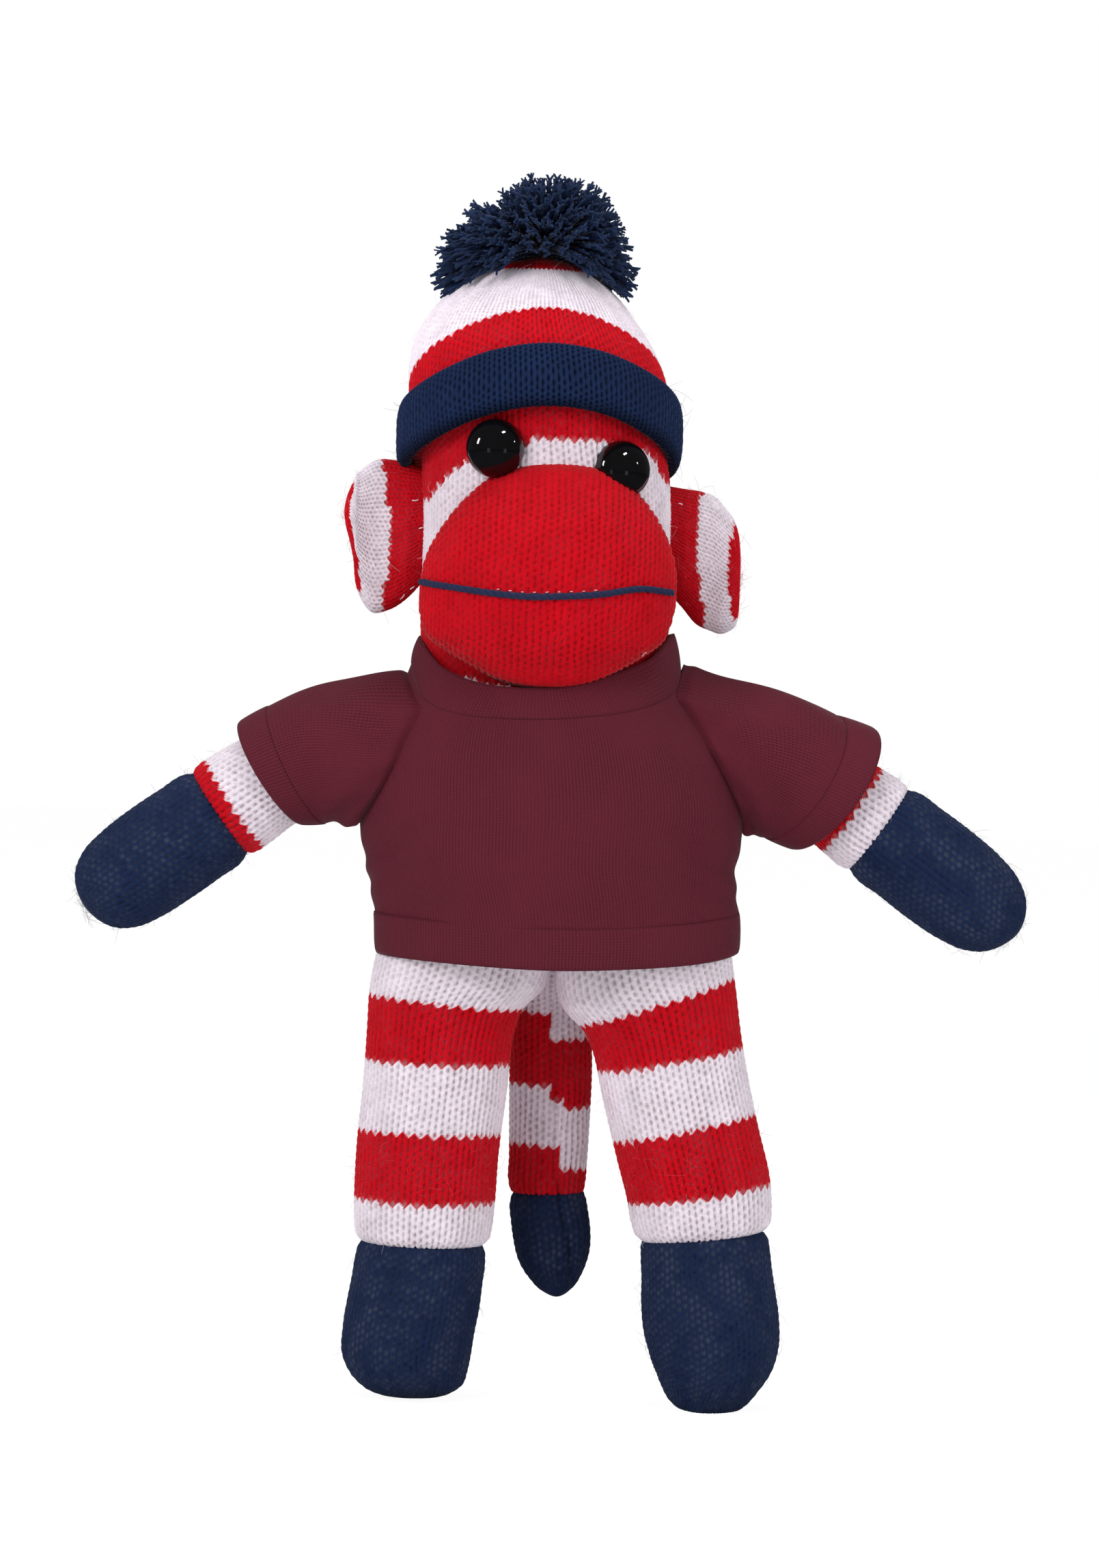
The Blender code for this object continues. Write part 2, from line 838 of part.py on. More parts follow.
def ear_form(side):
    """The ear grows sideways out of its seam, so its oval's width is its height."""
    seam = ear_hinge(side)
    wide = side * pick(side, RIGHT_EAR_WIDE, LEFT_EAR_WIDE)
    tall = pick(side, RIGHT_EAR_HALF_TALL, LEFT_EAR_HALF_TALL)
    table = pick(side, RIGHT_EAR_SHARES, LEFT_EAR_SHARES)
    rows = []
    for share in BALL_SHARES:
        middle = seam + Vector((-side * share * EAR_ROOT, 0, table[0][1] * tall))
        rows.append((middle, table[0][2] * tall, half_round(EAR_ROOT, share)))
    for out, rise, high in table:
        middle = seam + Vector((out * wide, 0, rise * tall))
        thick = EAR_ROOT if out == 0 else EAR_THICK / 2
        taper = min(1.0, high / 0.5)
        rows.append((middle, high * tall, thick * taper))
    return Form(rows, sideways=side)


def cheek(side, height):
    """The point of the head that lies furthest out on one side, at a height."""
    head = head_form()
    turn = 0.0 if side > 0 else math.pi
    return head.at(turn, head.row_at(height))


def ear_hinge(side):
    height = head_bottom() + EAR_UP_SHARES[SEAM[side]] * HEAD_TALL
    return cheek(side, height) + Vector((side * (EAR_ROOT + 2 * GAP), 0, 0))


def ear_lean(side):
    """How far the ear's seam leans to the side for each step up."""
    tall = pick(side, RIGHT_EAR_HALF_TALL, LEFT_EAR_HALF_TALL)
    low = cheek(side, ear_hinge(side).z - tall / 2)
    high = cheek(side, ear_hinge(side).z + tall / 2)
    return (high.x - low.x) / (high.z - low.z)


# Legs, arms and tail

def build_leg(side):
    name = NAMES[side]
    form = leg_form(side)
    root = hip(side)
    pieces = [
        skin("leg_skin_" + name, form, 0, ANKLE_ROW, red_knit("leg_knit_" + name)),
        foot_skin(side, form),
        body_of("leg_filling_" + name, form, 0, form.last, filling_fibre("leg_fibre_" + name),
                out=-KNIT - GAP),
    ]
    level_sole(pieces[2], KNIT + GAP)
    for piece in pieces:
        place_origin(piece, root)


def foot_skin(side, form):
    """A cup whose sole is level, starting one clearance below the leg's skin."""
    work = bmesh.new()
    below = (form.middle(ANKLE_ROW) - form.middle(ANKLE_ROW + 1)).length
    first = ANKLE_ROW + GAP / below
    rows = spread(form, first, form.last)
    outer = rings_of(form, rows, LIMB_SIDES, 0.0)
    inner = rings_of(form, rows, LIMB_SIDES, -KNIT)
    outer["end"] = form.middle(form.last)
    inner["end"] = form.middle(form.last) + Vector((0, 0, KNIT))
    lay_wall(work, outer, inner)
    for point in work.verts:
        lowest = 0.0 if point.co.z < KNIT / 2 else KNIT
        point.co.z = max(point.co.z, lowest)
    return finish("foot_skin_" + NAMES[side], work, navy_knit("foot_knit_" + NAMES[side]))


def level_sole(item, height):
    for point in item.data.vertices:
        point.co.z = max(point.co.z, height)


def build_arm(side):
    name = NAMES[side]
    form = arm_form(side)
    wrist = WRIST_ROW + len(BALL_SHARES)
    step = (form.middle(wrist) - form.middle(wrist + 1)).length
    pieces = [
        skin("arm_skin_" + name, form, 0, wrist, white_knit("arm_knit_" + name)),
        skin("hand_skin_" + name, form, wrist + GAP / step, form.last,
             navy_knit("hand_knit_" + name)),
        body_of("arm_filling_" + name, form, 0, form.last, filling_fibre("arm_fibre_" + name),
                out=-KNIT - GAP),
    ]
    for piece in pieces:
        place_origin(piece, shoulder(side))


def build_sleeve(side):
    name = NAMES[side]
    form = sleeve_form(side)
    first = CUFF_FIRST_ROW + len(BALL_SHARES)
    last = CUFF_LAST_ROW + len(BALL_SHARES)
    step = (form.middle(math.floor(first)) - form.middle(math.ceil(first))).length
    sleeve = skin("sleeve_" + name, form, 0, first - GAP / step,
                  maroon_jersey("sleeve_jersey_" + name), thick=JERSEY)
    cuff = skin("cuff_" + name, form, first, last, maroon_jersey("cuff_jersey_" + name),
                out=(BAND - JERSEY) / 2, thick=BAND)
    place_origin(sleeve, shoulder(side))
    place_origin(cuff, shoulder(side))


def build_tail():
    form = tail_form()
    tip = TAIL_TIP_ROW
    step = (form.middle(tip) - form.middle(tip + 1)).length
    pieces = [
        skin("tail_skin", form, 0, tip, red_knit("tail_knit"), sides=TAIL_SIDES),
        skin("tail_tip_skin", form, tip + GAP / step, form.last, navy_knit("tail_tip_knit"),
             sides=TAIL_SIDES),
        body_of("tail_filling", form, 0, form.last, filling_fibre("tail_fibre"),
                sides=TAIL_SIDES, out=-KNIT - GAP),
    ]
    for piece in pieces:
        place_origin(piece, tail_root())


# Body and shirt

def hip_space(side):
    """The hollow round a hip ball: turned about X, and no facet cuts into the ball."""
    width = pick(side, RIGHT_LEG_HALF_WIDTH, LEFT_LEG_HALF_WIDTH) + 2 * GAP
    radius = (HIP_RADIUS + 2 * GAP) / math.cos(math.pi / BODY_SIDES)
    profile = [(share * width, half_round(radius, share)) for share in HIP_PROFILE_SHARES]
    return lathe("hip_ball", profile, hip(side), Vector((1, 0, 0)), None, sides=BODY_SIDES)


def swing_space():
    """The room in front of the seat, which the two thighs fill when they swing up."""
    right = hip(-1).x - RIGHT_LEG_HALF_WIDTH - 3 * GAP
    left = hip(1).x + LEFT_LEG_HALF_WIDTH + 3 * GAP
    low = Vector((right, -OVERRUN, HIP_HEIGHT - OVERRUN))
    high = Vector((left, 2 * GAP, HIP_HEIGHT + HIP_RADIUS + 3 * GAP))
    return box("hip_swing", low, high)


def arm_space(side):
    form = sleeve_form(side)
    space = body_of("sleeve_space", form, 0, form.last, None, out=GAP)
    return turned(space, shoulder(side), "Y", side * ARM_DROP_DEG)


def ball_space(name, middle, radius):
    """The hollow round a ball, wide enough that none of its facets cuts into the ball."""
    wide = radius / (math.cos(math.pi / ROUND_SIDES) * math.cos(math.pi / (2 * BALL_RINGS)))
    work = bmesh.new()
    bmesh.ops.create_uvsphere(work, u_segments=ROUND_SIDES, v_segments=BALL_RINGS, radius=wide)
    bmesh.ops.translate(work, verts=work.verts, vec=middle)
    return finish(name, work, None)


def clear_joints(item, hips=True):
    cut(item, ball_space("neck_space", neck(), NECK_RADIUS + GAP))
    for side in SIDES:
        ball = pick(side, RIGHT_SLEEVE_RADIUS, LEFT_SLEEVE_RADIUS)
        cut(item, ball_space("sleeve_ball", shoulder(side), ball + 2 * GAP))
        cut(item, arm_space(side))
    if not hips:
        return
    cut(item, swing_space())
    for side in SIDES:
        cut(item, hip_space(side))
    cut(item, ball_space("tail_space", tail_root(), TAIL_HALF_WIDTH + 2 * GAP))


def build_torso():
    form = torso_form()
    outside = skin("torso_skin", form, 0, form.last, red_knit("torso_knit"), sides=BODY_SIDES)
    inside = body_of("torso_filling", form, 0, form.last, filling_fibre("torso_fibre"),
                     sides=BODY_SIDES, out=-KNIT - GAP)
    for piece in (outside, inside):
        clear_joints(piece)


def hem_height(turn):
    base = HIP_HEIGHT + HIP_RADIUS + HEM_CLEARANCE
    across = math.cos(turn)
    return base + HEM_SIDE_RISE * across * across + HEM_TILT * across


def collar_low(turn):
    """The collar's lower edge: low in front, over the sleeve at each side."""
    across = math.cos(turn)
    side = 1 if across > 0 else -1
    front = torso_bottom() + COLLAR_FRONT_SHARE * TORSO_TALL
    ball = pick(side, RIGHT_SLEEVE_RADIUS, LEFT_SLEEVE_RADIUS)
    beside = shoulder(side).z + ball + 2 * GAP
    middle = front + COLLAR_BACK_RISE * max(0.0, math.sin(turn))
    share = across * across
    return middle + (beside - middle) * share


def collar_point(turn, up, out):
    across = math.cos(turn)
    share = across * across
    tall = COLLAR_FRONT_TALL + (COLLAR_SIDE_TALL - COLLAR_FRONT_TALL) * share
    width = HEAD_HALF_WIDTH + COLLAR_EASE + COLLAR_FLARE * (1 - up) + out
    depth = HEAD_HALF_DEPTH + COLLAR_DEPTH_EASE + COLLAR_FLARE * (1 - up) + out
    x = TORSO_MIDDLE + width * across
    y = COLLAR_SET + depth * math.sin(turn)
    return Vector((x, y, collar_low(turn) + tall * up))


def build_collar():
    work = bmesh.new()
    outer = [[collar_point(t, up, 0.0) for t in turns(BODY_SIDES)] for up in BAND_SHARES]
    inner = [[collar_point(t, up, -BAND) for t in turns(BODY_SIDES)] for up in BAND_SHARES]
    lay_wall(work, {"rings": outer}, {"rings": inner})
    return finish("shirt_collar", work, maroon_jersey("collar_jersey"))


def build_hem():
    form = torso_form()
    work = bmesh.new()

    def ring(up, out):
        made = []
        for turn in turns(BODY_SIDES):
            height = hem_height(turn) + up * HEM_TALL
            point = form.at(turn, form.row_at(height), out)
            point.z = height
            made.append(point)
        return made

    outer = [ring(up, SHIRT_EASE + BAND) for up in BAND_SHARES]
    inner = [ring(up, SHIRT_EASE) for up in BAND_SHARES]
    lay_wall(work, {"rings": outer}, {"rings": inner})
    finish("shirt_hem", work, maroon_jersey("hem_jersey"))


def shirt_rings(form, out):
    """Rings from the hem's top, up the body, out to the collar's lower edge."""
    rings = []
    first = []
    for turn in turns(BODY_SIDES):
        height = hem_height(turn) + HEM_TALL + GAP
        point = form.at(turn, form.row_at(height), SHIRT_EASE + out)
        point.z = height
        first.append(point)
    rings.append(first)
    for share in SHIRT_ROWS_SHARES:
        height = torso_bottom() + share * TORSO_TALL
        row = form.row_at(height)
        rings.append([form.at(turn, row, SHIRT_EASE + out) for turn in turns(BODY_SIDES)])
    last = []
    for turn in turns(BODY_SIDES):
        point = collar_point(turn, 0.0, out - JERSEY)
        point.z = collar_low(turn) - GAP
        last.append(point)
    rings.append(last)
    return rings


def build_shirt():
    form = torso_form()
    for name, back in (("shirt_front", False), ("shirt_back", True)):
        work = bmesh.new()
        outer = {"rings": shirt_rings(form, JERSEY)}
        inner = {"rings": shirt_rings(form, 0.0)}
        lay_wall(work, outer, inner)
        piece = finish(name, work, maroon_jersey(name + "_jersey"))
        clear_joints(piece, hips=False)
        wide = TORSO_HALF_WIDTH + OVERRUN
        deep = TORSO_HALF_DEPTH + OVERRUN
        low = Vector((-wide, -deep if back else -GAP / 2, 0))
        high = Vector((wide, GAP / 2 if back else deep, torso_top() + OVERRUN))
        cut(piece, box("half", low, high))


# Head and hat

def build_neck():
    """A short knitted stem: a ball under the head on a flat foot in the body."""
    work = bmesh.new()
    bmesh.ops.create_uvsphere(work, u_segments=ROUND_SIDES, v_segments=BALL_RINGS, radius=NECK_RADIUS)
    for point in work.verts:
        point.co.z = max(point.co.z, -NECK_DOWN)
    bmesh.ops.remove_doubles(work, verts=work.verts, dist=NEEDLE)
    flat = [face for face in work.faces if face.calc_area() == 0]
    bmesh.ops.delete(work, geom=flat, context="FACES_ONLY")
    stem = finish("neck_stem", work, red_knit("neck_knit"))
    stem.location = neck()


def hang_head(names):
    """Gives every piece that nods with the head its origin at the top of the neck."""
    for name in names:
        place_origin(bpy.data.objects[name], neck())


def centre():
    """Puts the middle of the whole monkey over the origin, front to back."""
    for item in bpy.data.objects:
        item.location.y += MIDDLE_SET


def eye_seat(side):
    """Where an eye sits: a point on the face and the way that the eye looks."""
    head = head_form()
    height = head_bottom() + EYE_UP_SHARES[SEAM[side]] * HEAD_TALL
    row = head.row_at(height)
    turn = -math.acos(EYE_ACROSS_SHARES[SEAM[side]])
    out = head.normal(turn, row)
    aim = (out * (1 - EYE_FACE_SHARE) + Vector((0, -1, 0)) * EYE_FACE_SHARE).normalized()
    return head.at(turn, row), aim


def eye_sag():
    """How far the face curves away under the eye's flat back."""
    return EYE_RADIUS * EYE_RADIUS / (2 * HEAD_HALF_DEPTH)


def build_eye(side, skin_piece, filling_piece):
    name = NAMES[side]
    seat, aim = eye_seat(side)
    base = eye_sag() / 2
    profile = [(base - EYE_POST_LONG, 0), (base - EYE_POST_LONG, EYE_POST - EYE_POST_RIB)]
    for share in EYE_RIB_SHARES:
        start = base - EYE_POST_LONG * (1 - share)
        profile.append((start, EYE_POST - EYE_POST_RIB))
        profile.append((start + EYE_POST_LONG * EYE_RIB_TALL_SHARE, EYE_POST))
    profile.append((base, EYE_POST - EYE_POST_RIB))
    profile.append((base, EYE_RADIUS - EYE_RIM / 2))
    profile.append((base + EYE_RIM / 2, EYE_RADIUS))
    for index in range(1, EYE_RINGS):
        angle = index * math.pi / (2 * EYE_RINGS)
        rise = (EYE_TALL - EYE_RIM) * math.sin(angle)
        profile.append((base + EYE_RIM + rise, EYE_RADIUS * math.cos(angle)))
    profile.append((base + EYE_TALL, 0))
    lathe("eye_" + name, profile, seat, aim, black_gloss("eye_gloss_" + name))
    build_washer(side, seat, aim)
    hole = EYE_POST + GAP
    tall = EYE_POST_LONG + GAP
    plug = [(-tall, 0), (-tall, hole), (CUT_RISE, hole), (CUT_RISE, 0)]
    cut(skin_piece, lathe("post_hole", plug, seat, aim, None))
    deep = washer_front() + WASHER_THICK + GAP
    wide = WASHER_RADIUS + GAP
    high = CUT_RISE
    pocket = [(-tall, 0), (-tall, hole), (-deep, hole), (-deep, wide), (high, wide), (high, 0)]
    cut(filling_piece, lathe("washer_pocket", pocket, seat, aim, None))


def washer_front():
    return KNIT + GAP + WASHER_SETBACK


def build_washer(side, seat, aim):
    """A flat ring that grips the post behind the face's skin."""
    front = -washer_front()
    back = front - WASHER_THICK
    hole = EYE_POST + GAP
    work = bmesh.new()
    rings = []
    for along, radius in ((front, hole), (front, WASHER_RADIUS), (back, WASHER_RADIUS), (back, hole)):
        circle = [(radius * math.cos(t), radius * math.sin(t), along) for t in turns(ROUND_SIDES)]
        rings.append(ring_of(work, circle))
    for index in range(4):
        join_rings(work, rings[index], rings[(index + 1) % 4])
    made = finish("eye_washer_" + NAMES[side], work, surface("washer_" + NAMES[side], WHITE, 0.4))
    made.data.transform(Matrix.Translation(seat) @ aim.to_track_quat("Z", "Y").to_matrix().to_4x4())


def head_space(name, out):
    form = head_form()
    return body_of(name, form, 0, form.last, None, sides=BODY_SIDES, out=out)


def build_head():
    form = head_form()
    outside = skin("head_skin", form, 0, form.last, red_knit("head_knit"), sides=BODY_SIDES)
    inside = body_of("head_filling", form, 0, form.last, filling_fibre("head_fibre"),
                     sides=BODY_SIDES, out=-KNIT - GAP)
    for piece in (outside, inside):
        cut(piece, ball_space("neck_space", neck(), NECK_RADIUS + GAP))
    for side in SIDES:
        build_eye(side, outside, inside)


def build_muzzle():
    form = muzzle_form()
    outside = body_of("muzzle_skin", form, 0, form.last, red_knit("muzzle_knit"), sides=BODY_SIDES)
    cut(outside, body_of("muzzle_room", form, 0, form.last, None, sides=BODY_SIDES, out=-KNIT))
    inside = body_of("muzzle_filling", form, 0, form.last, filling_fibre("muzzle_fibre"),
                     sides=BODY_SIDES, out=-KNIT - GAP)
    for piece in (outside, inside):
        cut(piece, head_space("head_space", GAP))


def build_mouth():
    """One strand of yarn that lies across the muzzle and sags in the middle."""
    form = muzzle_form()
    spread_turn = math.radians(MOUTH_SPREAD_DEG)
    points = []
    for index in range(MOUTH_STEPS + 1):
        part = 2 * index / MOUTH_STEPS - 1
        turn = -math.pi / 2 + part * spread_turn
        row = MOUTH_ROW - MOUTH_SAG_ROWS * (1 - part * part)
        points.append(form.at(turn, row, MOUTH_YARN_RADIUS + GAP))
    work = bmesh.new()
    rings = []
    for index, point in enumerate(points):
        before = points[max(index - 1, 0)]
        after = points[min(index + 1, MOUTH_STEPS)]
        along = (after - before).normalized()
        side = along.cross(Vector((0, 0, 1))).normalized()
        up = side.cross(along)
        circle = [
            point + (side * math.cos(t) + up * math.sin(t)) * MOUTH_YARN_RADIUS for t in turns(YARN_SIDES)
        ]
        rings.append(ring_of(work, circle))
    for index in range(MOUTH_STEPS):
        join_rings(work, rings[index], rings[index + 1])
    close_ring(work, rings[0], points[0])
    close_ring(work, rings[-1], points[-1])
    finish("mouth_yarn", work, navy_knit("mouth_navy"))


def brim_middle(turn):
    """The brim is tipped back: high over the face, low behind."""
    front = head_bottom() + BRIM_FRONT_SHARE * HEAD_TALL
    lift = BRIM_LEAN * math.cos(turn)
    return front - BRIM_DROP * (1 + math.sin(turn)) + lift


def hat_layer(form, turn, height, out):
    row = form.row_at(height)
    return form.at(turn, row, out)


def build_hat():
    form = head_form()
    crown_rings = {"out": [], "in": []}
    top = head_bottom() + HEAD_TALL
    for step in HAT_SHARES:
        outer = []
        inner = []
        for turn in turns(BODY_SIDES):
            low = brim_middle(turn) - BRIM_TALL / 2 + HAT_EDGE_TUCK
            height = low + (top - low) * step
            outer.append(hat_layer(form, turn, height, HAT_EASE + KNIT))
            inner.append(hat_layer(form, turn, height, HAT_EASE))
        crown_rings["out"].append(outer)
        crown_rings["in"].append(inner)
    work = bmesh.new()
    outer = {"rings": crown_rings["out"], "end": form.at(0, form.last, HAT_EASE + KNIT)}
    inner = {"rings": crown_rings["in"], "end": form.at(0, form.last, HAT_EASE)}
    lay_wall(work, outer, inner)
    crown = finish("hat_crown", work, red_knit("crown_knit"))
    build_brim(form)
    return crown


def build_brim(form):
    """A rolled band round the crown: fat in the middle and round at both edges."""
    work = bmesh.new()
    base = HAT_EASE + KNIT + 2 * GAP
    rings = []
    for up, fat in BRIM_SHARES:
        rings.append(ring_of(work, [
            hat_layer(form, t, brim_middle(t) + up * BRIM_TALL, base + fat * BRIM_THICK)
            for t in turns(BODY_SIDES)
        ]))
    for index in range(len(rings)):
        join_rings(work, rings[index], rings[(index + 1) % len(rings)])
    finish("hat_brim", work, navy_knit("brim_knit"))


def build_pompom():
    """A ball of yarn ends that sits over the crown, tied at its middle."""
    form = pompom_form()
    ball = body_of("pompom", form, 0, form.last, navy_knit("pompom_yarn"), sides=BODY_SIDES)
    cut(ball, head_space("hat_space", HAT_EASE + KNIT + 2 * GAP))
    head = head_form()
    foot = head.at(0, head.last, HAT_EASE + KNIT + GAP)
    up = Vector((0, 0, 1))
    wide = POMPOM_TIE + GAP
    tall = POMPOM_TIE_TALL + GAP
    room = [(-CUT_RISE, 0), (-CUT_RISE, wide), (tall, wide), (tall, 0)]
    cut(ball, lathe("tie_room", room, foot, up, None))
    knot = [(0, 0)]
    knot += [(rise * POMPOM_TIE_TALL, fat * POMPOM_TIE) for rise, fat in POMPOM_TIE_SHARES]
    knot.append((POMPOM_TIE_TALL, 0))
    lathe("pompom_tie", knot, foot + up * GAP / 3, up, navy_knit("tie_yarn"))


def build_ear(side):
    """Two layers of knit, cupped forwards, on a round seam that it hinges about."""
    form = ear_form(side)
    hinge = ear_hinge(side)
    lean = ear_lean(side)
    wide = pick(side, RIGHT_EAR_WIDE, LEFT_EAR_WIDE)
    tall = pick(side, RIGHT_EAR_HALF_TALL, LEFT_EAR_HALF_TALL)
    made = body_of("ear_" + NAMES[side], form, 0, form.last, red_knit("ear_knit_" + NAMES[side]))
    for point in made.data.vertices:
        out = max(0.0, side * (point.co.x - hinge.x)) / wide
        high = (point.co.z - hinge.z) / tall
        point.co.y += EAR_SET * out - EAR_CUP * out * high * high - EAR_CURL * out * out
        point.co.x += lean * (point.co.z - hinge.z)
    place_origin(made, hinge)


def build():
    clear_scene()
    for side in SIDES:
        build_leg(side)
        build_arm(side)
        build_sleeve(side)
        build_ear(side)
    build_tail()
    build_torso()
    build_shirt()
    build_collar()
    build_hem()
    build_neck()
    build_head()
    build_muzzle()
    build_mouth()
    build_hat()
    build_pompom()
    hang_head(HEAD_PIECES)
    centre()


build()
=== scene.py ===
"""Sock monkey doll with a bobble hat and a jersey shirt: looks, light and camera over the solid model."""
import json
import math

import bpy
import numpy as np
from mathutils import Quaternion, Matrix, Vector

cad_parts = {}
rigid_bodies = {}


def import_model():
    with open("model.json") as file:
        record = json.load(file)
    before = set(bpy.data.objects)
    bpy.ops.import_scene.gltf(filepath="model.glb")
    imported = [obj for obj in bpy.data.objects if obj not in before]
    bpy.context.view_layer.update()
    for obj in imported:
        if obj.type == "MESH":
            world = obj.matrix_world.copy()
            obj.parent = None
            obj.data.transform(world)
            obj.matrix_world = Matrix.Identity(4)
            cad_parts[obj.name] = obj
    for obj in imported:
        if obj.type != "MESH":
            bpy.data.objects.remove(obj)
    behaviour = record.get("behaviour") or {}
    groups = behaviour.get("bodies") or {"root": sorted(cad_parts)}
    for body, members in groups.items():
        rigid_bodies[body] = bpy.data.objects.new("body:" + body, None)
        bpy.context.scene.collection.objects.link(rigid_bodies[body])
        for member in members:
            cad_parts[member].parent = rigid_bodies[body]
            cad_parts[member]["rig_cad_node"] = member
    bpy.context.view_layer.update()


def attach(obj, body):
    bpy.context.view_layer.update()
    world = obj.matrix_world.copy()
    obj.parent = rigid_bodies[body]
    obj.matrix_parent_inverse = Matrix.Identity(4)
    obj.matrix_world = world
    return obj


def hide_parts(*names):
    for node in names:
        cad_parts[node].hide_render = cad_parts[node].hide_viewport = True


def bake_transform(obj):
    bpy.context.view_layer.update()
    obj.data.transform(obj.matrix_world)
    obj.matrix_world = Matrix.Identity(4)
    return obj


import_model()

MM = 0.001
TURN = 2.0 * math.pi
SIDES = {"right": -1, "left": 1}
LIMB_Y = 3.3
HEAD_Y = 5.3
TAIL_Y = 23.8

# Colours, linear: the yarns; what shows in the knit's holes, partly the pale filling and partly painted shade; and how
# much painted shade darkens each yarn's grooves
RED = np.array((0.550, 0.0015, 0.0085))
WHITE = np.array((0.835, 0.755, 0.835))
NAVY = np.array((0.0078, 0.0185, 0.061))
YARN_NAVY = np.array((0.0068, 0.0135, 0.040))
MAROON = (0.108, 0.0155, 0.0275)
PALETTE = np.array((RED, WHITE, NAVY))
HOLE_PALETTE = np.array(((0.43, 0.032, 0.050), (0.47, 0.35, 0.39), (0.070, 0.080, 0.125)))
GROOVE_PAINTED_SHADE = np.array((0.46, 0.16, 0.42))
R, W, N = 0, 1, 2
# Navy for the loose fibres, 2.2 times lighter than the yarn: painted sheen on the fuzzy edges.
NAVY_FIBRE = NAVY * 2.2

# The knit: the width of a column of stitches, the height of a row, and mesh steps for each
WALE = 2.8
COURSE = 1.7
ACROSS_STEPS = 8
ALONG_STEPS = 5
JERSEY_WALE = 0.74
JERSEY_COURSE = 0.62
FIBRE_RELIEF = 0.00012


# Materials

def feed(tree, node, inputs):
    """Sets a node's inputs by name or number: a socket is linked, anything else is the input's own value."""
    for key, value in inputs.items():
        if isinstance(value, bpy.types.NodeSocket):
            tree.links.new(value, node.inputs[key])
        else:
            node.inputs[key].default_value = value


def add_node(tree, kind, inputs=None, **settings):
    node = tree.nodes.new("ShaderNode" + kind)
    for key, value in settings.items():
        setattr(node, key, value)
    feed(tree, node, inputs or {})
    return node


def calc(tree, operation, *values):
    return add_node(tree, "Math", dict(enumerate(values)), operation=operation).outputs[0]


def noise(tree, scale, **more):
    """Noise that is fixed to the object's own space."""
    place = add_node(tree, "TexCoord")
    return add_node(tree, "TexNoise", {"Vector": place.outputs["Object"], "Scale": scale, **more}).outputs["Fac"]


def map_range(tree, value, to_min, to_max, from_min=0.0, from_max=1.0):
    return add_node(tree, "MapRange", {"Value": value, "From Min": from_min, "From Max": from_max,
                                       "To Min": to_min, "To Max": to_max}).outputs["Result"]


def mix_colours(tree, factor, first, second):
    return add_node(tree, "Mix", {"Factor": factor, "A": (*first, 1.0), "B": (*second, 1.0)},
                    data_type="RGBA").outputs["Result"]


def new_material(name):
    material = bpy.data.materials.new(name)
    material.use_nodes = True
    return material, material.node_tree, material.node_tree.nodes["Principled BSDF"]


def cloth_look(tree, shader, colour, shade, height, strength, rough, sheen, sheen_rough):
    """A dull fibre surface: its colour times its shade, and bump from its height."""
    tint = add_node(tree, "VectorMath", {0: colour, "Scale": shade}, operation="SCALE")
    relief = add_node(tree, "Bump", {"Strength": strength, "Distance": FIBRE_RELIEF, "Height": height})
    feed(tree, shader, {"Base Color": tint.outputs["Vector"], "Normal": relief.outputs["Normal"], "Roughness": rough,
                        "Sheen Weight": sheen, "Sheen Roughness": sheen_rough, "Specular IOR Level": 0.12})


def knit_material(name, grain=0.18):
    """Yarn that takes its colour from the mesh, with a fine fibre grain."""
    material, tree, shader = new_material(name)
    colour = add_node(tree, "Attribute", attribute_name="yarn").outputs["Color"]
    fibre = noise(tree, 3200.0, Detail=3.0, Roughness=0.65)
    cloth_look(tree, shader, colour, map_range(tree, fibre, 1.0 - grain, 1.0 + grain, 0.25, 0.75), fibre, 0.7,
               0.92, 0.20, 0.22)
    return material


def jersey_material(name):
    """Fine maroon jersey: narrow ribs and small holes laid out on the cloth's own millimetres."""
    material, tree, shader = new_material(name)
    cloth = add_node(tree, "UVMap", uv_map="Cloth")
    split = add_node(tree, "SeparateXYZ", {"Vector": cloth.outputs["UV"]})
    rib = calc(tree, "COSINE", calc(tree, "MULTIPLY", split.outputs["X"], TURN / JERSEY_WALE))
    step = calc(tree, "COSINE", calc(tree, "MULTIPLY", split.outputs["Y"], TURN / JERSEY_COURSE))
    furrow = calc(tree, "MAXIMUM", calc(tree, "MULTIPLY", rib, -1.0), 0.0)
    dot = calc(tree, "MULTIPLY", furrow, calc(tree, "MAXIMUM", step, 0.0))
    hole = calc(tree, "MULTIPLY", dot, map_range(tree, noise(tree, 70.0, Detail=2.0), 0.06, 1.0, 0.42, 0.66))
    fibre = noise(tree, 4200.0, Detail=2.0)
    # Painted shade: the holes are painted darker, and the colour is a little darker in the ribs' furrows and lighter on
    # their crests.
    colour = mix_colours(tree, hole, MAROON, (MAROON[0] * 0.36, MAROON[1] * 0.42, MAROON[2] * 0.46))
    shade = calc(tree, "MULTIPLY", map_range(tree, fibre, 0.90, 1.10, 0.3, 0.7),
                 calc(tree, "MULTIPLY_ADD", rib, 0.09, 1.0))
    dip = calc(tree, "ADD", calc(tree, "MULTIPLY", hole, -0.7), calc(tree, "MULTIPLY", fibre, 0.5))
    height = calc(tree, "ADD", calc(tree, "MULTIPLY", rib, 0.30), dip)
    cloth_look(tree, shader, colour, shade, height, 0.6, 0.95, 0.10, 0.25)
    return material


def gloss_material(name, base, rough):
    material, tree, shader = new_material(name)
    level = map_range(tree, noise(tree, 900.0), rough * 0.7, rough * 1.3)
    feed(tree, shader, {"Roughness": level, "Base Color": (*base, 1.0)})
    return material


knit = knit_material("knit_yarn")
knit_fine = knit_material("knit_fine_yarn", grain=0.22)
jersey = jersey_material("maroon_jersey_cloth")


# Meshes

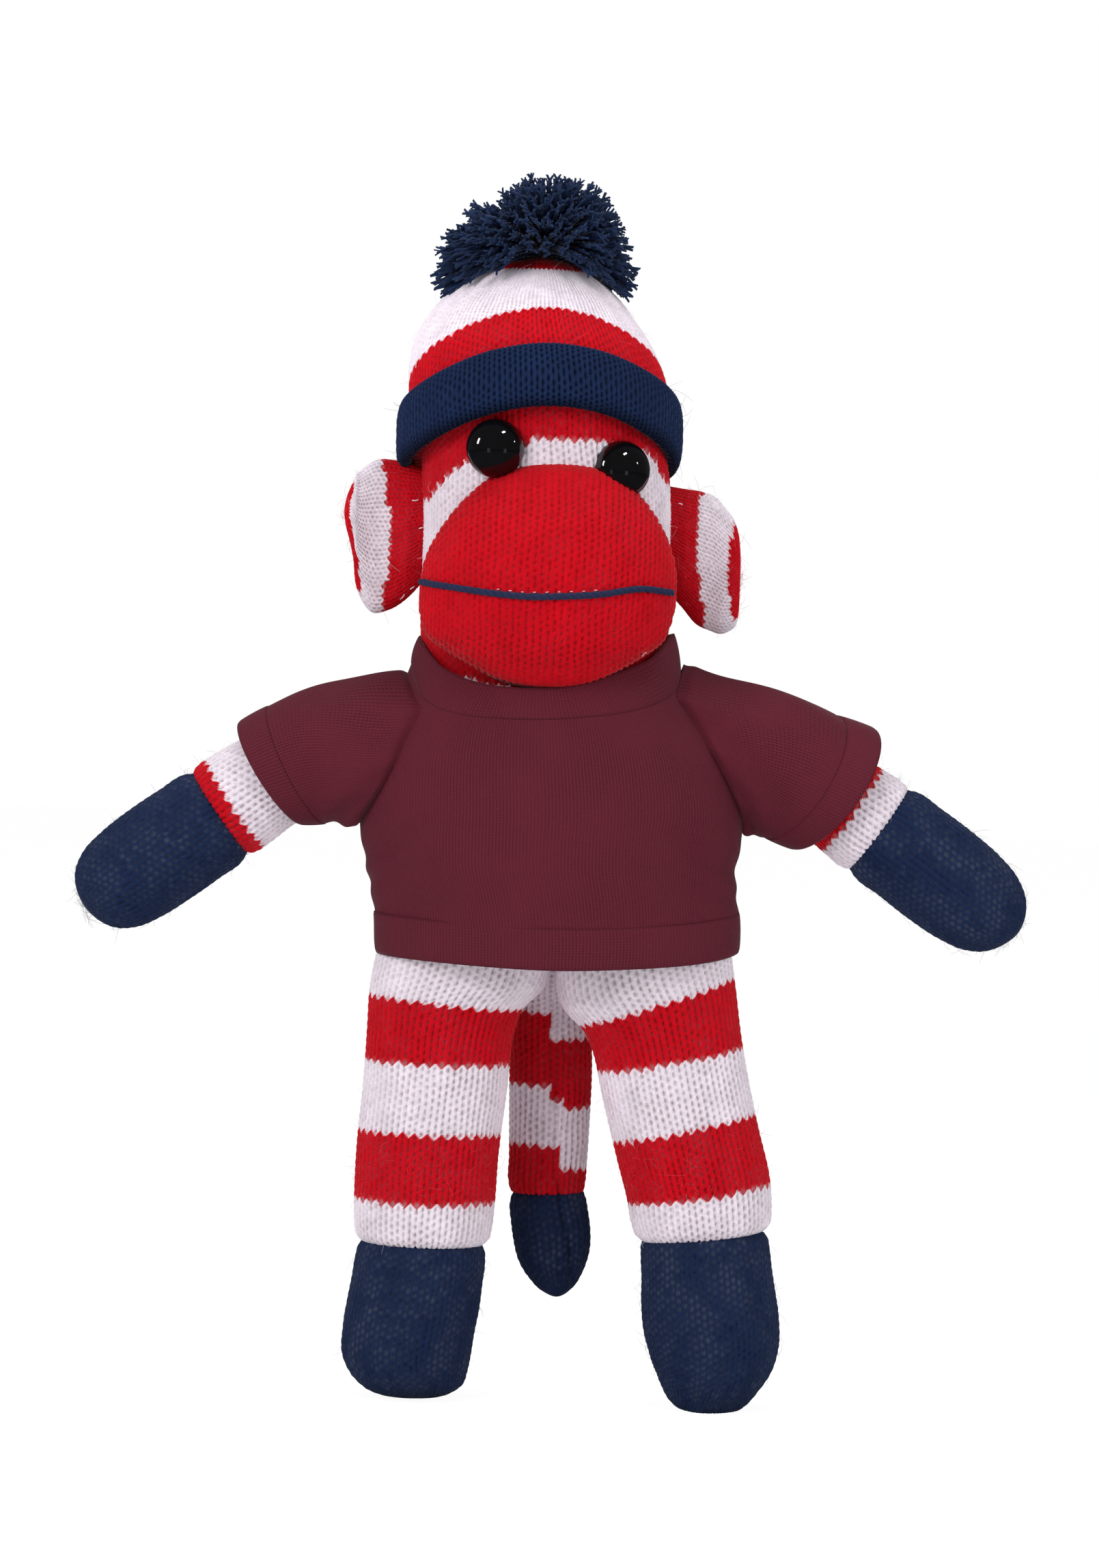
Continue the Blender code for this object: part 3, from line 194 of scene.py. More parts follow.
def add_mesh(name, points, faces, material, colours=None, cloth=None):
    """A mesh object from points in millimetres. faces is a list, or all corners in a row with each face's count.
    colours is one a point, cloth one pair of millimetres a corner."""
    mesh = bpy.data.meshes.new(name)
    points = np.asarray(points, np.float32) * MM
    if isinstance(faces, list):
        faces = [i for face in faces for i in face], [len(face) for face in faces]
    flat, counts = (np.asarray(part, np.int32) for part in faces)
    mesh.vertices.add(len(points))
    mesh.vertices.foreach_set("co", points.ravel())
    mesh.loops.add(len(flat))
    mesh.loops.foreach_set("vertex_index", flat)
    mesh.polygons.add(len(counts))
    mesh.polygons.foreach_set("loop_start", np.concatenate(([0], np.cumsum(counts)[:-1])).astype(np.int32))
    mesh.polygons.foreach_set("use_smooth", np.ones(len(counts), bool))
    mesh.update(calc_edges=True)
    mesh.validate()
    if colours is not None:
        layer = mesh.color_attributes.new("yarn", "FLOAT_COLOR", "POINT")
        shades = np.ones((len(points), 4), np.float32)
        shades[:, :3] = colours
        layer.data.foreach_set("color", shades.ravel())
    if cloth is not None:
        layer = mesh.uv_layers.new(name="Cloth")
        layer.data.foreach_set("uv", np.asarray(cloth, np.float32).ravel())
    mesh.materials.append(material)
    item = bpy.data.objects.new(name, mesh)
    bpy.context.scene.collection.objects.link(item)
    return item


def read_rows(source, field, width):
    """One row of numbers for each item of a mesh's data."""
    out = np.empty(len(source) * width, np.float32)
    source.foreach_get(field, out)
    return out.reshape(-1, width)


def write_points(mesh, points):
    mesh.vertices.foreach_set("co", points.ravel())
    mesh.update()


def grid_faces(rows, columns, closed):
    """Faces of rows of points round a ring. If closed, a fan goes from each end to its pole, which comes last."""
    ring = np.arange(columns)
    after = (ring + 1) % columns
    row = np.arange(rows - 1)[:, None] * columns
    a, b = row + ring, row + after
    quads = np.stack((a, b, b + columns, a + columns), -1).reshape(-1, 4)
    pole = np.full(columns, rows * columns)
    end = (rows - 1) * columns
    fans = [np.stack((pole, after, ring), -1), np.stack((pole + 1, ring + end, after + end), -1)] if closed else []
    flat = np.concatenate([quads.ravel()] + [fan.ravel() for fan in fans])
    return flat, np.concatenate((np.full(len(quads), 4), np.full(len(fans) * columns, 3)))


def knit_mesh(name, surface, colours, closed):
    """A knitted tube from a grid of points, rows by columns, with each end closed to its middle if asked."""
    ends = (0, -1) if closed else ()
    points = [surface.reshape(-1, 3)] + [surface[end].mean(0)[None] for end in ends]
    shades = [colours.reshape(-1, 3)] + [colours[end].mean(0)[None] for end in ends]
    return add_mesh(name, np.concatenate(points), grid_faces(*surface.shape[:2], closed), knit, np.concatenate(shades))


# Smooth forms

FINE_STEPS = 40


def unit(vectors):
    return vectors / np.linalg.norm(vectors, axis=-1)[..., None]


def run(points):
    """How far along a line each of its points lies."""
    return np.concatenate(([0.0], np.cumsum(np.linalg.norm(np.diff(points, axis=0), axis=1))))


def table_at(where, marks, table):
    """The columns of a table, read at places between its rows."""
    return np.stack([np.interp(where, marks, column) for column in table.T], -1)


def pairs_at(where, pairs, **more):
    """The second of each pair, read at places between the first ones."""
    return np.interp(where, *zip(*pairs), **more)


def in_plane(y, rows):
    """Rows of a form whose middles all lie at one y: x, z, half width and half depth."""
    return [(x, y, *rest) for x, *rest in rows]


def refine(rows, round_first=False, round_last=False):
    """Rows of a soft form made finer: middle x, y, z, half width, half depth, with the distance along the surface."""
    rows = np.array(rows, float)
    step = np.sqrt((np.diff(rows[:, :4], axis=0) ** 2).sum(1))
    rise = np.diff(rows, axis=0) / step[:, None]
    slope = np.empty_like(rows)
    slope[1:-1] = (rise[:-1] * step[1:, None] + rise[1:] * step[:-1, None]) / (step[:-1] + step[1:])[:, None]
    slope[0], slope[-1] = rise[0], rise[-1]
    if round_first:
        slope[0] = (0, 0, 0, 1, rows[1, 4] / max(rows[1, 3], 0.01))
    if round_last:
        slope[-1] = (0, 0, 0, -1, -rows[-2, 4] / max(rows[-2, 3], 0.01))
    part = np.linspace(0, 1, FINE_STEPS, endpoint=False)[:, None]
    out = []
    for i, length in enumerate(step):
        square, cube = part ** 2, part ** 3
        out.append((2 * cube - 3 * square + 1) * rows[i] + (cube - 2 * square + part) * slope[i] * length
                   + (3 * square - 2 * cube) * rows[i + 1] + (cube - square) * slope[i + 1] * length)
    out.append(rows[-1:])
    out = np.concatenate(out)
    out[:, 3:] = np.maximum(out[:, 3:], 0.0)
    return out, run(out[:, :4])


def headings(rows, along, far, fixed=None):
    """Unit heading of the path at each distance, smoothed over the rows."""
    if fixed is not None:
        return np.tile(np.array(fixed, float), (len(along), 1))
    spots = np.linspace(0, far[-1], 24)
    reach = far[-1] / 12
    low, high = [table_at(np.clip(spots + shift, 0, far[-1]), far, rows[:, :3]) for shift in (-reach, reach)]
    return unit(table_at(along, spots, unit(high - low)))


def round_line(table, angle, blur=math.radians(9.0)):
    """A value that changes round the doll: the table gives it at angles in degrees, 0 the back and 90 the right."""
    line = pairs_at(np.arange(360), table, period=360)
    wave = np.fft.rfft(line) * np.exp(-(np.arange(181) * blur) ** 2 / 2)
    smooth = np.fft.irfft(wave, 360)
    return np.interp(np.degrees(angle) % 360, np.arange(361), np.append(smooth, smooth[0]))

def even_turns(count, ratio):
    """Angles round an oval of that depth to width ratio, evenly spaced along its edge."""
    angle = np.linspace(0, TURN, 721)
    middle = (angle[1:] + angle[:-1]) / 2
    length = np.concatenate(([0.0], np.cumsum(np.hypot(np.cos(middle), ratio * np.sin(middle)))))
    return np.interp(np.arange(count) / count * length[-1], length, angle)

def at_height(fine, z):
    """Middle x, y, z, half width and half depth of an upright form at a height."""
    return [np.interp(z, fine[:, 2], column) for column in fine.T]


def point_on(fine, z, angle, out=0.0):
    """A point on an upright form or out from it: angle 0 is the back, a quarter turn is the doll's right."""
    x, y, _, wide, deep = at_height(fine, z)
    return np.stack((x - (wide + out) * np.sin(angle), y + (deep + out) * np.cos(angle), z + 0 * angle), -1)


def stitched(surface, across_steps, courses, v, middle, heading, along_steps=ALONG_STEPS, first=False, last=False):
    """A smooth grid with its stitch coordinates: u counts columns of stitches, v rows. first and last say which end
    closes round to a pole."""
    rows, columns, _ = surface.shape
    return {"surface": surface, "u": np.tile(np.arange(columns) / across_steps, (rows, 1)),
            "v": np.tile(v[:, None], (1, columns)), "middle": middle, "heading": heading, "across_steps": across_steps,
            "along_steps": along_steps, "courses": courses, "pole_first": first, "pole_last": last}
def tube_base(rows, wales, round_first=False, round_last=False, fixed=None, course=COURSE,
              across_steps=ACROSS_STEPS, along_steps=ALONG_STEPS, upright=0.0):
    """The smooth surface under a knitted tube, with its stitch coordinates and middles.
    upright is how far the rows of stitches stay level although the tube leans, from 0 to 1."""
    fine, far = refine(rows, round_first, round_last)
    courses = max(2, round(far[-1] / course))
    along = np.linspace(0, far[-1], courses * along_steps + 1)
    if round_first:
        along[0] = far[-1] * 0.0015
    if round_last:
        along[-1] = far[-1] * 0.9985
    row = table_at(along, far, fine)
    middle, wide, deep = row[:, :3], row[:, 3:4], row[:, 4:5]
    heading = headings(fine, along, far, fixed)
    if upright:
        heading = unit(heading * (1 - upright) + np.array((0.0, 0.0, -1.0)) * upright)
    depth = unit(np.array((0.0, 1.0, 0.0)) - heading * heading[:, 1:2])
    across = np.cross(heading, depth)
    angle = even_turns(wales * across_steps, float(np.median(deep) / np.median(wide)))
    surface = (middle[:, None] + across[:, None] * (wide * np.sin(angle))[..., None]
               + depth[:, None] * (deep * np.cos(angle))[..., None])
    v = courses * (1 - np.linspace(0, 1, len(along)))
    return stitched(surface, across_steps, courses, v, middle, heading, along_steps, round_first, round_last)
def normals_of(base):
    surface = base["surface"]
    du = np.roll(surface, -1, 1) - np.roll(surface, 1, 1)
    dv = np.gradient(surface, axis=0)
    out = np.cross(du, dv)
    size = np.linalg.norm(out, axis=2)
    for pole, index, sign in ((base["pole_first"], 0, -1), (base["pole_last"], -1, 1)):
        if pole:
            out[index] = sign * base["heading"][index]
            size[index] = 1.0
    return out / np.maximum(size, 1e-9)[..., None], np.linalg.norm(du, axis=2) / 2


def ripple(u, v, round_u, seed, size):
    """Smooth unevenness that closes on itself after round_u."""
    rng = np.random.default_rng(seed)
    out = np.zeros(np.broadcast(u, v).shape)
    for _ in range(7):
        turns = rng.integers(1, max(2, int(round_u / 2.5)))
        rate = rng.uniform(0.15, 1.1)
        out += np.sin(TURN * turns * u / round_u * rng.choice((-1, 1)) + rate * v + rng.uniform(0, TURN))
    return out * size / 7 ** 0.5


def stitch_relief(u, v, wale, course):
    """The relief of plain knit at stitch coordinates: its height, its column and row, and how deep the holes in and
    between stitches are."""
    column = np.floor(u)
    side = np.abs(u - column - 0.5)
    lift = v + 0.40 - 1.6 * side
    row = np.floor(lift)
    t = lift - row
    line = 0.25 + 0.045 * np.cos(TURN * (v - 0.18))
    gap = (side - line) / 0.225
    crest = 0.40 * np.sqrt(np.maximum(1 - gap ** 2, 0)) - 0.15 * (2 * t - 1) ** 2
    height = np.where(np.abs(gap) < 1, crest, -0.15)
    rise = (v - 0.18 + 0.5) % 1.0 - 0.5
    other = (v - 0.58 + 0.5) % 1.0 - 0.5
    wide, tall = 2 * (0.092 * wale) ** 2, 2 * (0.22 * course) ** 2
    inner = np.exp(-(side * wale) ** 2 / wide - (rise * course) ** 2 / tall)
    outer = np.exp(-((0.5 - side) * wale) ** 2 / wide - (other * course) ** 2 / tall)
    return height - 0.25 * (inner + outer), column, row, inner, outer


def hashed(a, b, seed):
    """An even random number for each pair of whole numbers."""
    x = np.sin(a * 127.1 + b * 311.7 + seed * 74.7) * 43758.5453
    return x - np.floor(x)
def dress(name, base, colour_of, seed, relief=1.0, wale=WALE, course=COURSE, stitch_at=None, hole=0.85, deep=1.0,
          closed=True, pits=None, shade_by=None):
    """Turns a smooth tube into knit: moves each point by the stitch relief and paints it with its yarn, with painted
    shade in its grooves and holes. hole and deep are how strongly the holes and the painted groove shade show, pits is
    one colour for all holes."""
    surface = base["surface"]
    rows, columns, _ = surface.shape
    normal, width = normals_of(base)
    u, v = (base["u"], base["v"]) if stitch_at is None else stitch_at(surface)
    whole = columns / base["across_steps"]
    uu = u + ripple(base["u"], base["v"], whole, seed, 0.05)
    vv = v + ripple(base["u"], base["v"], whole, seed + 50, 0.08)
    height, column, row, inner, outer = stitch_relief(uu, vv, wale, course)
    def yarn_of(line):
        if stitch_at is not None:
            return colour_of(surface, np.broadcast_to(base["middle"][:, None], surface.shape), line, column)
        near_u = (np.round((column + 0.5) * base["across_steps"]).astype(int)) % columns
        near_v = np.clip(np.round((base["courses"] - line - 0.5) * base["along_steps"]).astype(int), 0, rows - 1)
        return colour_of(surface[near_v, near_u], base["middle"][near_v], line, column)

    index = yarn_of(row)
    behind = yarn_of(row - 1)
    size = np.clip((width * base["across_steps"] / wale - 0.25) / 0.5, 0, 1)
    moved = surface + normal * (height * relief * size)[..., None]
    tone = 1 + 0.12 * (hashed(column, row, seed) - 0.5)
    tone = tone + 0.03 * ripple(base["u"], base["v"] * 0.3, whole, seed + 9, 1.0)
    # Painted shade: each yarn is painted darker where the relief sinks into the grooves between its strands.
    tone *= 1 - deep * GROOVE_PAINTED_SHADE[index] * size * (1 - np.clip((height + 0.30) / 0.60, 0, 1))
    if shade_by is not None:
        tone = tone * shade_by(surface)
    # The holes in and between stitches are painted with the hole colours: partly the filling that shows through, partly
    # painted shade.
    patch = np.clip(0.80 + ripple(base["u"], base["v"] * 0.5, whole, seed + 21, 0.34), 0.35, 1.25)
    patch = patch * size * hole * (0.35 + hashed(column, row + 13, seed + 3))
    shade = PALETTE[index] * tone[..., None]
    for yarn, amount in ((behind, inner), (index, outer)):
        amount = np.clip(amount * patch, 0, 0.92)[..., None]
        shade = shade * (1 - amount) + (HOLE_PALETTE[yarn] if pits is None else np.array(pits)) * amount
    return knit_mesh(name, moved, np.clip(shade, 0, 1), closed)


def flat_colour(index):
    return lambda spot, middle, row, column: np.full(row.shape, index, int)


def bands(edges, colours):
    """Colour by the height of the stitch's row: colours[0] below the first edge, and so on."""
    return lambda spot, middle, row, column: np.array(colours)[np.searchsorted(edges, middle[..., 2])]
def finish_piece(item, body, nodes):
    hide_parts(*nodes)
    if body is not None:
        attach(item, body)
    return item

FUZZ_RINGS = 6
FUZZ_SIDES = 3


def fuzz(name, source, body, count, colour, seed, keep=None):
    """Loose fibres that stand off a knitted piece, each bent over by its own curl."""
    mesh = source.data
    points = read_rows(mesh.vertices, "co", 3) / MM
    rng = np.random.default_rng(seed)
    spots = np.arange(len(points)) if keep is None else np.nonzero(keep(points))[0]
    spots = rng.choice(spots, count, replace=False)
    normal = read_rows(mesh.vertices, "normal", 3)[spots]
    side = unit(np.cross(normal, rng.normal(size=(count, 3))))
    curl = side + 0.6 * rng.normal(size=(count, 3))
    along = np.linspace(0, 1, FUZZ_RINGS)[None, :, None]
    length = (rng.uniform(1.6, 3.8, count) * rng.uniform(0.3, 1.0, count))[:, None, None]
    out = (normal[:, None] * (along - 0.55 * along ** 2) + 0.75 * side[:, None] * along
           + 0.5 * curl[:, None] * along ** 2)
    line = points[spots][:, None] + length * out - 0.1 * normal[:, None]
    other = np.cross(normal, side)
    turn = np.arange(FUZZ_SIDES) / FUZZ_SIDES * TURN
    ring = (np.cos(turn)[None, None, :, None] * other[:, None, None]
            + np.sin(turn)[None, None, :, None] * normal[:, None, None])
    tube = (line[:, :, None] + ring * (0.034 * (1 - 0.6 * along)[..., None])).reshape(-1, 3)
    size = FUZZ_RINGS * FUZZ_SIDES
    start = (np.arange(count) * size)[:, None, None] + (np.arange(FUZZ_RINGS - 1) * FUZZ_SIDES)[None, :, None]
    here = np.arange(FUZZ_SIDES)[None, None]
    after = (here + 1) % FUZZ_SIDES
    quads = np.stack((start + here, start + after, start + FUZZ_SIDES + after, start + FUZZ_SIDES + here), -1)
    quads = quads.reshape(-1, 4)
    # Each fibre takes most of the colour of the yarn under it and a little of the given colour; the navy fibres'
    # lighter colour is painted sheen.
    tint = read_rows(mesh.color_attributes["yarn"].data, "color", 4)[spots, :3] * 0.88 + np.array(colour) * 0.12
    item = add_mesh(name, tube, (quads.ravel(), np.full(len(quads), 4)), knit, np.repeat(tint, size, axis=0))
    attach(item, body)
    return item


# Legs and feet: rows of x, z, half width and half depth
LEG_ROWS = {
    "right": [(-16.8, 105.0, 16.8, 15.5), (-18.2, 99.0, 18.9, 16.6), (-19.6, 93.4, 18.8, 16.0),
              (-22.4, 87.5, 16.7, 14.6), (-23.2, 82.5, 16.0, 13.4), (-24.1, 69.2, 15.6, 13.0),
              (-25.3, 54.3, 15.4, 13.0), (-25.6, 42.7, 15.2, 13.0), (-25.7, 38.2, 14.9, 12.9),
              (-25.75, 35.6, 14.3, 12.4), (-25.8, 34.4, 12.6, 10.9), (-25.8, 34.3, 11.0, 9.5)],
    "left": [(18.3, 106.0, 16.7, 15.5), (20.3, 100.0, 19.2, 16.8), (21.5, 94.4, 19.3, 16.2),
             (24.7, 88.0, 17.2, 14.8), (26.2, 82.5, 16.3, 13.5), (28.8, 70.9, 15.9, 13.1),
             (32.0, 58.4, 15.7, 13.0), (34.9, 47.6, 15.6, 13.0), (35.6, 42.6, 15.3, 12.9),
             (36.1, 39.4, 14.5, 12.3), (36.3, 38.1, 12.8, 10.9), (36.3, 38.0, 11.2, 9.5)],
}
FOOT_ROWS = {
    "right": [(-25.8, 36.0, 9.5, 8.2), (-25.8, 34.9, 12.0, 10.5), (-25.9, 33.2, 13.6, 12.0),
              (-26.1, 30.5, 14.1, 12.4), (-26.6, 26.0, 14.2, 12.6), (-27.3, 20.5, 14.4, 12.9),
              (-28.1, 15.0, 14.3, 13.0), (-28.4, 9.0, 13.9, 12.8), (-27.6, 5.2, 12.5, 12.1),
              (-26.6, 2.7, 10.7, 10.6), (-26.2, 1.0, 7.8, 7.6), (-26.2, 0.3, 0.0, 0.0)],
    "left": [(36.3, 39.8, 9.5, 8.2), (36.35, 38.7, 12.0, 10.5), (36.5, 37.0, 13.6, 12.0),
             (36.8, 34.0, 14.0, 12.3), (37.3, 29.5, 14.2, 12.5), (37.8, 24.5, 14.6, 12.9),
             (38.5, 19.5, 14.8, 13.0), (39.5, 12.0, 14.0, 13.1), (39.2, 5.6, 12.4, 12.6),
             (37.9, 1.6, 10.2, 11.3), (36.8, -0.8, 7.4, 9.0), (36.4, -2.0, 0.0, 0.0)],
}
LEG_EDGES = {"right": (44.0, 59.5, 73.9, 88.4), "left": (46.6, 61.5, 75.8, 89.6)}
LEG_UPRIGHT = {"right": 0.80, "left": 0.12}
LEG_WALES = 32
SOLE_TILT = {"right": (), "left": (36.5, 0.30)}
SOLE_HEIGHT = 16.0


def standing(item, tilt_from=None, slope=0.0):
    """Lifts the sole's outer side if asked, and presses the lowest points flat on the floor."""
    points = read_rows(item.data.vertices, "co", 3)
    if tilt_from is not None:
        low = np.clip(1 - points[:, 2] / (SOLE_HEIGHT * MM), 0, 1)
        points[:, 2] += slope * np.clip(points[:, 0] - tilt_from * MM, 0, 1) * low
    points[:, 2] = np.maximum(points[:, 2], 0.0)
    write_points(item.data, points)


for side, sign in SIDES.items():
    upright = LEG_UPRIGHT[side]
    base = tube_base(in_plane(LIMB_Y, LEG_ROWS[side]), LEG_WALES, upright=upright)
    leg = dress("leg_knit_" + side, base, bands(LEG_EDGES[side], (W, R, W, R, W)), 11 + sign)
    finish_piece(leg, None, ["leg_skin_" + side, "leg_filling_" + side])
    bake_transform(leg)
    base = tube_base(in_plane(LIMB_Y, FOOT_ROWS[side]), LEG_WALES, round_last=True, upright=upright)
    foot = dress("foot_knit_" + side, base, flat_colour(N), 21 + sign, relief=0.85)
    standing(foot, *SOLE_TILT[side])
    finish_piece(foot, "leg_" + side, ["foot_skin_" + side])
    fuzz("leg_fuzz_" + side, leg, "leg_" + side, 330, WHITE, 31 + sign, lambda p: p[:, 2] < 70)
    fuzz("foot_fuzz_" + side, foot, "leg_" + side, 260, NAVY_FIBRE, 41 + sign, lambda p: p[:, 2] > 5)
# Seat

SEAT_ROWS = [(1.1, 12.4, 95.0, 0.0, 0.0), (1.1, 12.2, 95.6, 13.0, 7.0), (1.1, 10.4, 97.8, 26.0, 13.0),
             (1.0, 6.0, 101.6, 34.6, 18.6), (0.9, 3.3, 108.0, 36.5, 22.0)]
base = tube_base(SEAT_ROWS, 60, round_first=True, fixed=(0, 0, 1), across_steps=6)
base["v"] = base["courses"] - base["v"]
seat = dress("seat_knit", base, flat_colour(W), 31)
finish_piece(seat, "torso", ["torso_skin", "torso_filling"])


# Tail

TAIL_ROWS = [(0.9, 15.5, 101.5, 6.0, 5.0), (0.8, 18.6, 97.8, 7.8, 6.8), (0.7, 21.6, 93.2, 8.6, 7.4),
             (0.8, 23.4, 88.0, 8.9, 7.5), (0.9, 23.8, 82.2, 8.9, 7.5), (1.3, 23.8, 72.0, 9.0, 7.6),
             (1.4, 23.8, 61.8, 8.8, 7.6), (1.4, 23.8, 51.6, 8.5, 7.5), (1.3, 23.8, 46.2, 8.3, 7.4),
             (1.4, 23.8, 44.4, 7.8, 7.0), (1.4, 23.8, 44.0, 6.6, 5.8)]
TAIL_TIP_ROWS = [(1.4, 23.8, 45.1, 6.2, 5.4), (1.5, 23.8, 44.1, 7.5, 6.7), (1.6, 23.8, 42.5, 8.2, 7.3),
                 (2.2, 23.8, 38.5, 8.5, 7.5), (2.8, 23.8, 34.8, 8.5, 7.4), (3.4, 23.8, 29.7, 7.8, 6.9),
                 (4.0, 23.8, 25.2, 5.7, 5.2), (4.3, 23.8, 22.2, 3.5, 3.3), (4.4, 23.8, 20.4, 0.0, 0.0)]
TAIL_WALES = 18
TAIL_CREASE_DEPTH = 1.1
TAIL_CREASE_WIDTH = 0.75


def tail_middle(z):
    """X of the seam down the tail's front, in millimetres."""
    return np.interp(z, (23.8, 34.1, 43.0, 48.2, 63.8, 84.6), (7.8, 6.6, 4.6, 3.4, 2.9, 1.0))


def tail_colour(spot, middle, row, column):
    height = middle[..., 2]
    first, second = [np.array((R, W, R, W))[np.searchsorted(edges, height)]
                     for edges in ((54.5, 68.6, 84.6), (50.0, 63.0, 79.0))]
    return np.where(spot[..., 0] > tail_middle(spot[..., 2]), second, first)


def crease(item):
    """Pulls the seam's narrow crease into the front of the tail."""
    points = read_rows(item.data.vertices, "co", 3)
    off = (points[:, 0] / MM - tail_middle(points[:, 2] / MM)) / TAIL_CREASE_WIDTH
    front = points[:, 1] / MM < TAIL_Y
    points[:, 1] += np.where(front, TAIL_CREASE_DEPTH * np.exp(-off ** 2), 0) * MM
    write_points(item.data, points)


tail = dress("tail_knit", tube_base(TAIL_ROWS, TAIL_WALES), tail_colour, 41)
crease(tail)
finish_piece(tail, None, ["tail_skin", "tail_filling"])
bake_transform(tail)
tip = dress("tail_tip_knit", tube_base(TAIL_TIP_ROWS, TAIL_WALES, round_last=True), flat_colour(N), 43, relief=0.85)
crease(tip)
finish_piece(tip, "tail", ["tail_tip_skin"])


# Arms and hands: rows of x, z, half width and half depth
ARM_ROWS = {
    "right": [(-41.0, 142.2, 9.4, 9.4), (-50.5, 140.0, 10.1, 10.1), (-57.0, 137.6, 10.3, 10.3),
              (-63.0, 134.9, 10.7, 10.6), (-69.0, 130.8, 11.2, 11.0), (-71.6, 128.9, 11.2, 11.0),
              (-73.0, 127.9, 10.6, 10.4), (-73.5, 127.5, 9.0, 8.8)],
    "left": [(38.0, 144.4, 9.4, 9.4), (48.1, 141.5, 9.8, 9.8), (54.6, 139.0, 10.0, 10.0),
             (60.7, 136.1, 10.4, 10.3), (67.0, 132.1, 11.0, 10.8), (69.8, 130.2, 11.2, 11.0),
             (71.2, 129.3, 10.7, 10.5), (71.7, 128.9, 9.2, 9.0)],
}
HAND_ROWS = {
    "right": [(-72.4, 128.3, 8.2, 8.0), (-73.2, 127.7, 9.9, 9.7), (-74.6, 126.7, 11.0, 10.8),
              (-80.1, 122.7, 11.5, 11.2), (-86.2, 118.2, 11.6, 11.1), (-92.3, 113.6, 11.2, 10.7),
              (-97.0, 110.1, 10.0, 9.5), (-100.4, 107.5, 7.2, 6.8), (-102.6, 105.8, 0.0, 0.0)],
    "left": [(70.5, 129.8, 8.4, 8.2), (71.3, 129.2, 10.1, 9.9), (72.8, 128.2, 11.1, 10.8),
             (78.9, 124.1, 11.5, 11.0), (85.2, 119.6, 11.6, 10.9), (91.8, 114.9, 11.1, 10.4),
             (96.8, 111.4, 9.7, 9.2), (100.6, 108.8, 6.7, 6.4), (103.0, 107.0, 0.0, 0.0)],
}
ARM_EDGE = {"right": 70.4, "left": 65.3}
ARM_COLOURS = {"right": (W, R), "left": (R, W)}
ARM_WALES = 24


def arm_colour(side):
    """One colour up to the edge, the other beyond it, by the distance of the stitch's row from the doll's middle."""
    return lambda spot, middle, row, column: np.array(ARM_COLOURS[side])[
        np.searchsorted((ARM_EDGE[side],), np.abs(middle[..., 0]))]


for side, sign in SIDES.items():
    arm = dress("arm_knit_" + side, tube_base(in_plane(LIMB_Y, ARM_ROWS[side]), ARM_WALES), arm_colour(side), 51 + sign)
    finish_piece(arm, "arm_" + side, ["arm_skin_" + side, "arm_filling_" + side])
    base = tube_base(in_plane(LIMB_Y, HAND_ROWS[side]), ARM_WALES, round_last=True)
    hand = dress("hand_knit_" + side, base, flat_colour(N), 61 + sign, relief=0.85)
    finish_piece(hand, "arm_" + side, ["hand_skin_" + side])
    fuzz("arm_fuzz_" + side, arm, "arm_" + side, 110, WHITE, 51 + sign,
         lambda p: np.abs(p[:, 0]) > 68)
    fuzz("hand_fuzz_" + side, hand, "arm_" + side, 260, NAVY_FIBRE, 61 + sign)


# Head: rows of x, z, half width and half depth
HEAD_ROWS = [(-3.1, 150.0, 16.0, 14.0), (-3.1, 155.0, 22.5, 19.0), (-3.2, 160.0, 25.6, 21.5),
             (-3.5, 167.7, 26.8, 22.6), (-3.6, 179.8, 27.0, 23.9), (-3.7, 192.9, 27.3, 24.0),
             (-4.4, 204.1, 27.0, 23.6), (-5.3, 214.0, 26.2, 22.9), (-5.7, 222.1, 26.0, 22.4),
             (-6.0, 231.1, 24.0, 20.4), (-6.3, 237.0, 19.0, 16.0), (-6.4, 240.0, 12.0, 10.0)]


def head_colour(spot, middle, row, column):
    x, y, z = spot[..., 0], spot[..., 1], spot[..., 2]
    front = np.interp(x, (-31.5, -28.7, -22.3, -13.0, -3.3, 8.0, 18.1, 22.3, 24.5),
                      (196.4, 199.1, 205.3, 209.6, 211.4, 211.0, 208.9, 203.1, 198.4))
    edge = np.where(y < HEAD_Y, front, 196.9 + 0.05 * (x + 4))
    drop = edge - z
    low = np.interp(x, (-31.5, -24.0, -15.0, 24.5), (164.4, 159.4, 158.4, 150.0))
    colour = np.array((R, W, R, W, R))[np.searchsorted((0.0, 17.0, 36.0, 51.0), drop)]
    return np.where((y < HEAD_Y) & (z < 175.0), np.where(z < low, W, R), colour)


base = tube_base(in_plane(HEAD_Y, HEAD_ROWS[::-1]), 58, across_steps=7, along_steps=4, fixed=(0, 0, -1))
head = dress("head_knit", base, head_colour, 71)
finish_piece(head, "head", ["head_skin", "head_filling"])
fuzz("head_fuzz", head, "head", 320, RED, 71, lambda p: (p[:, 2] > 172) & (p[:, 2] < 212))

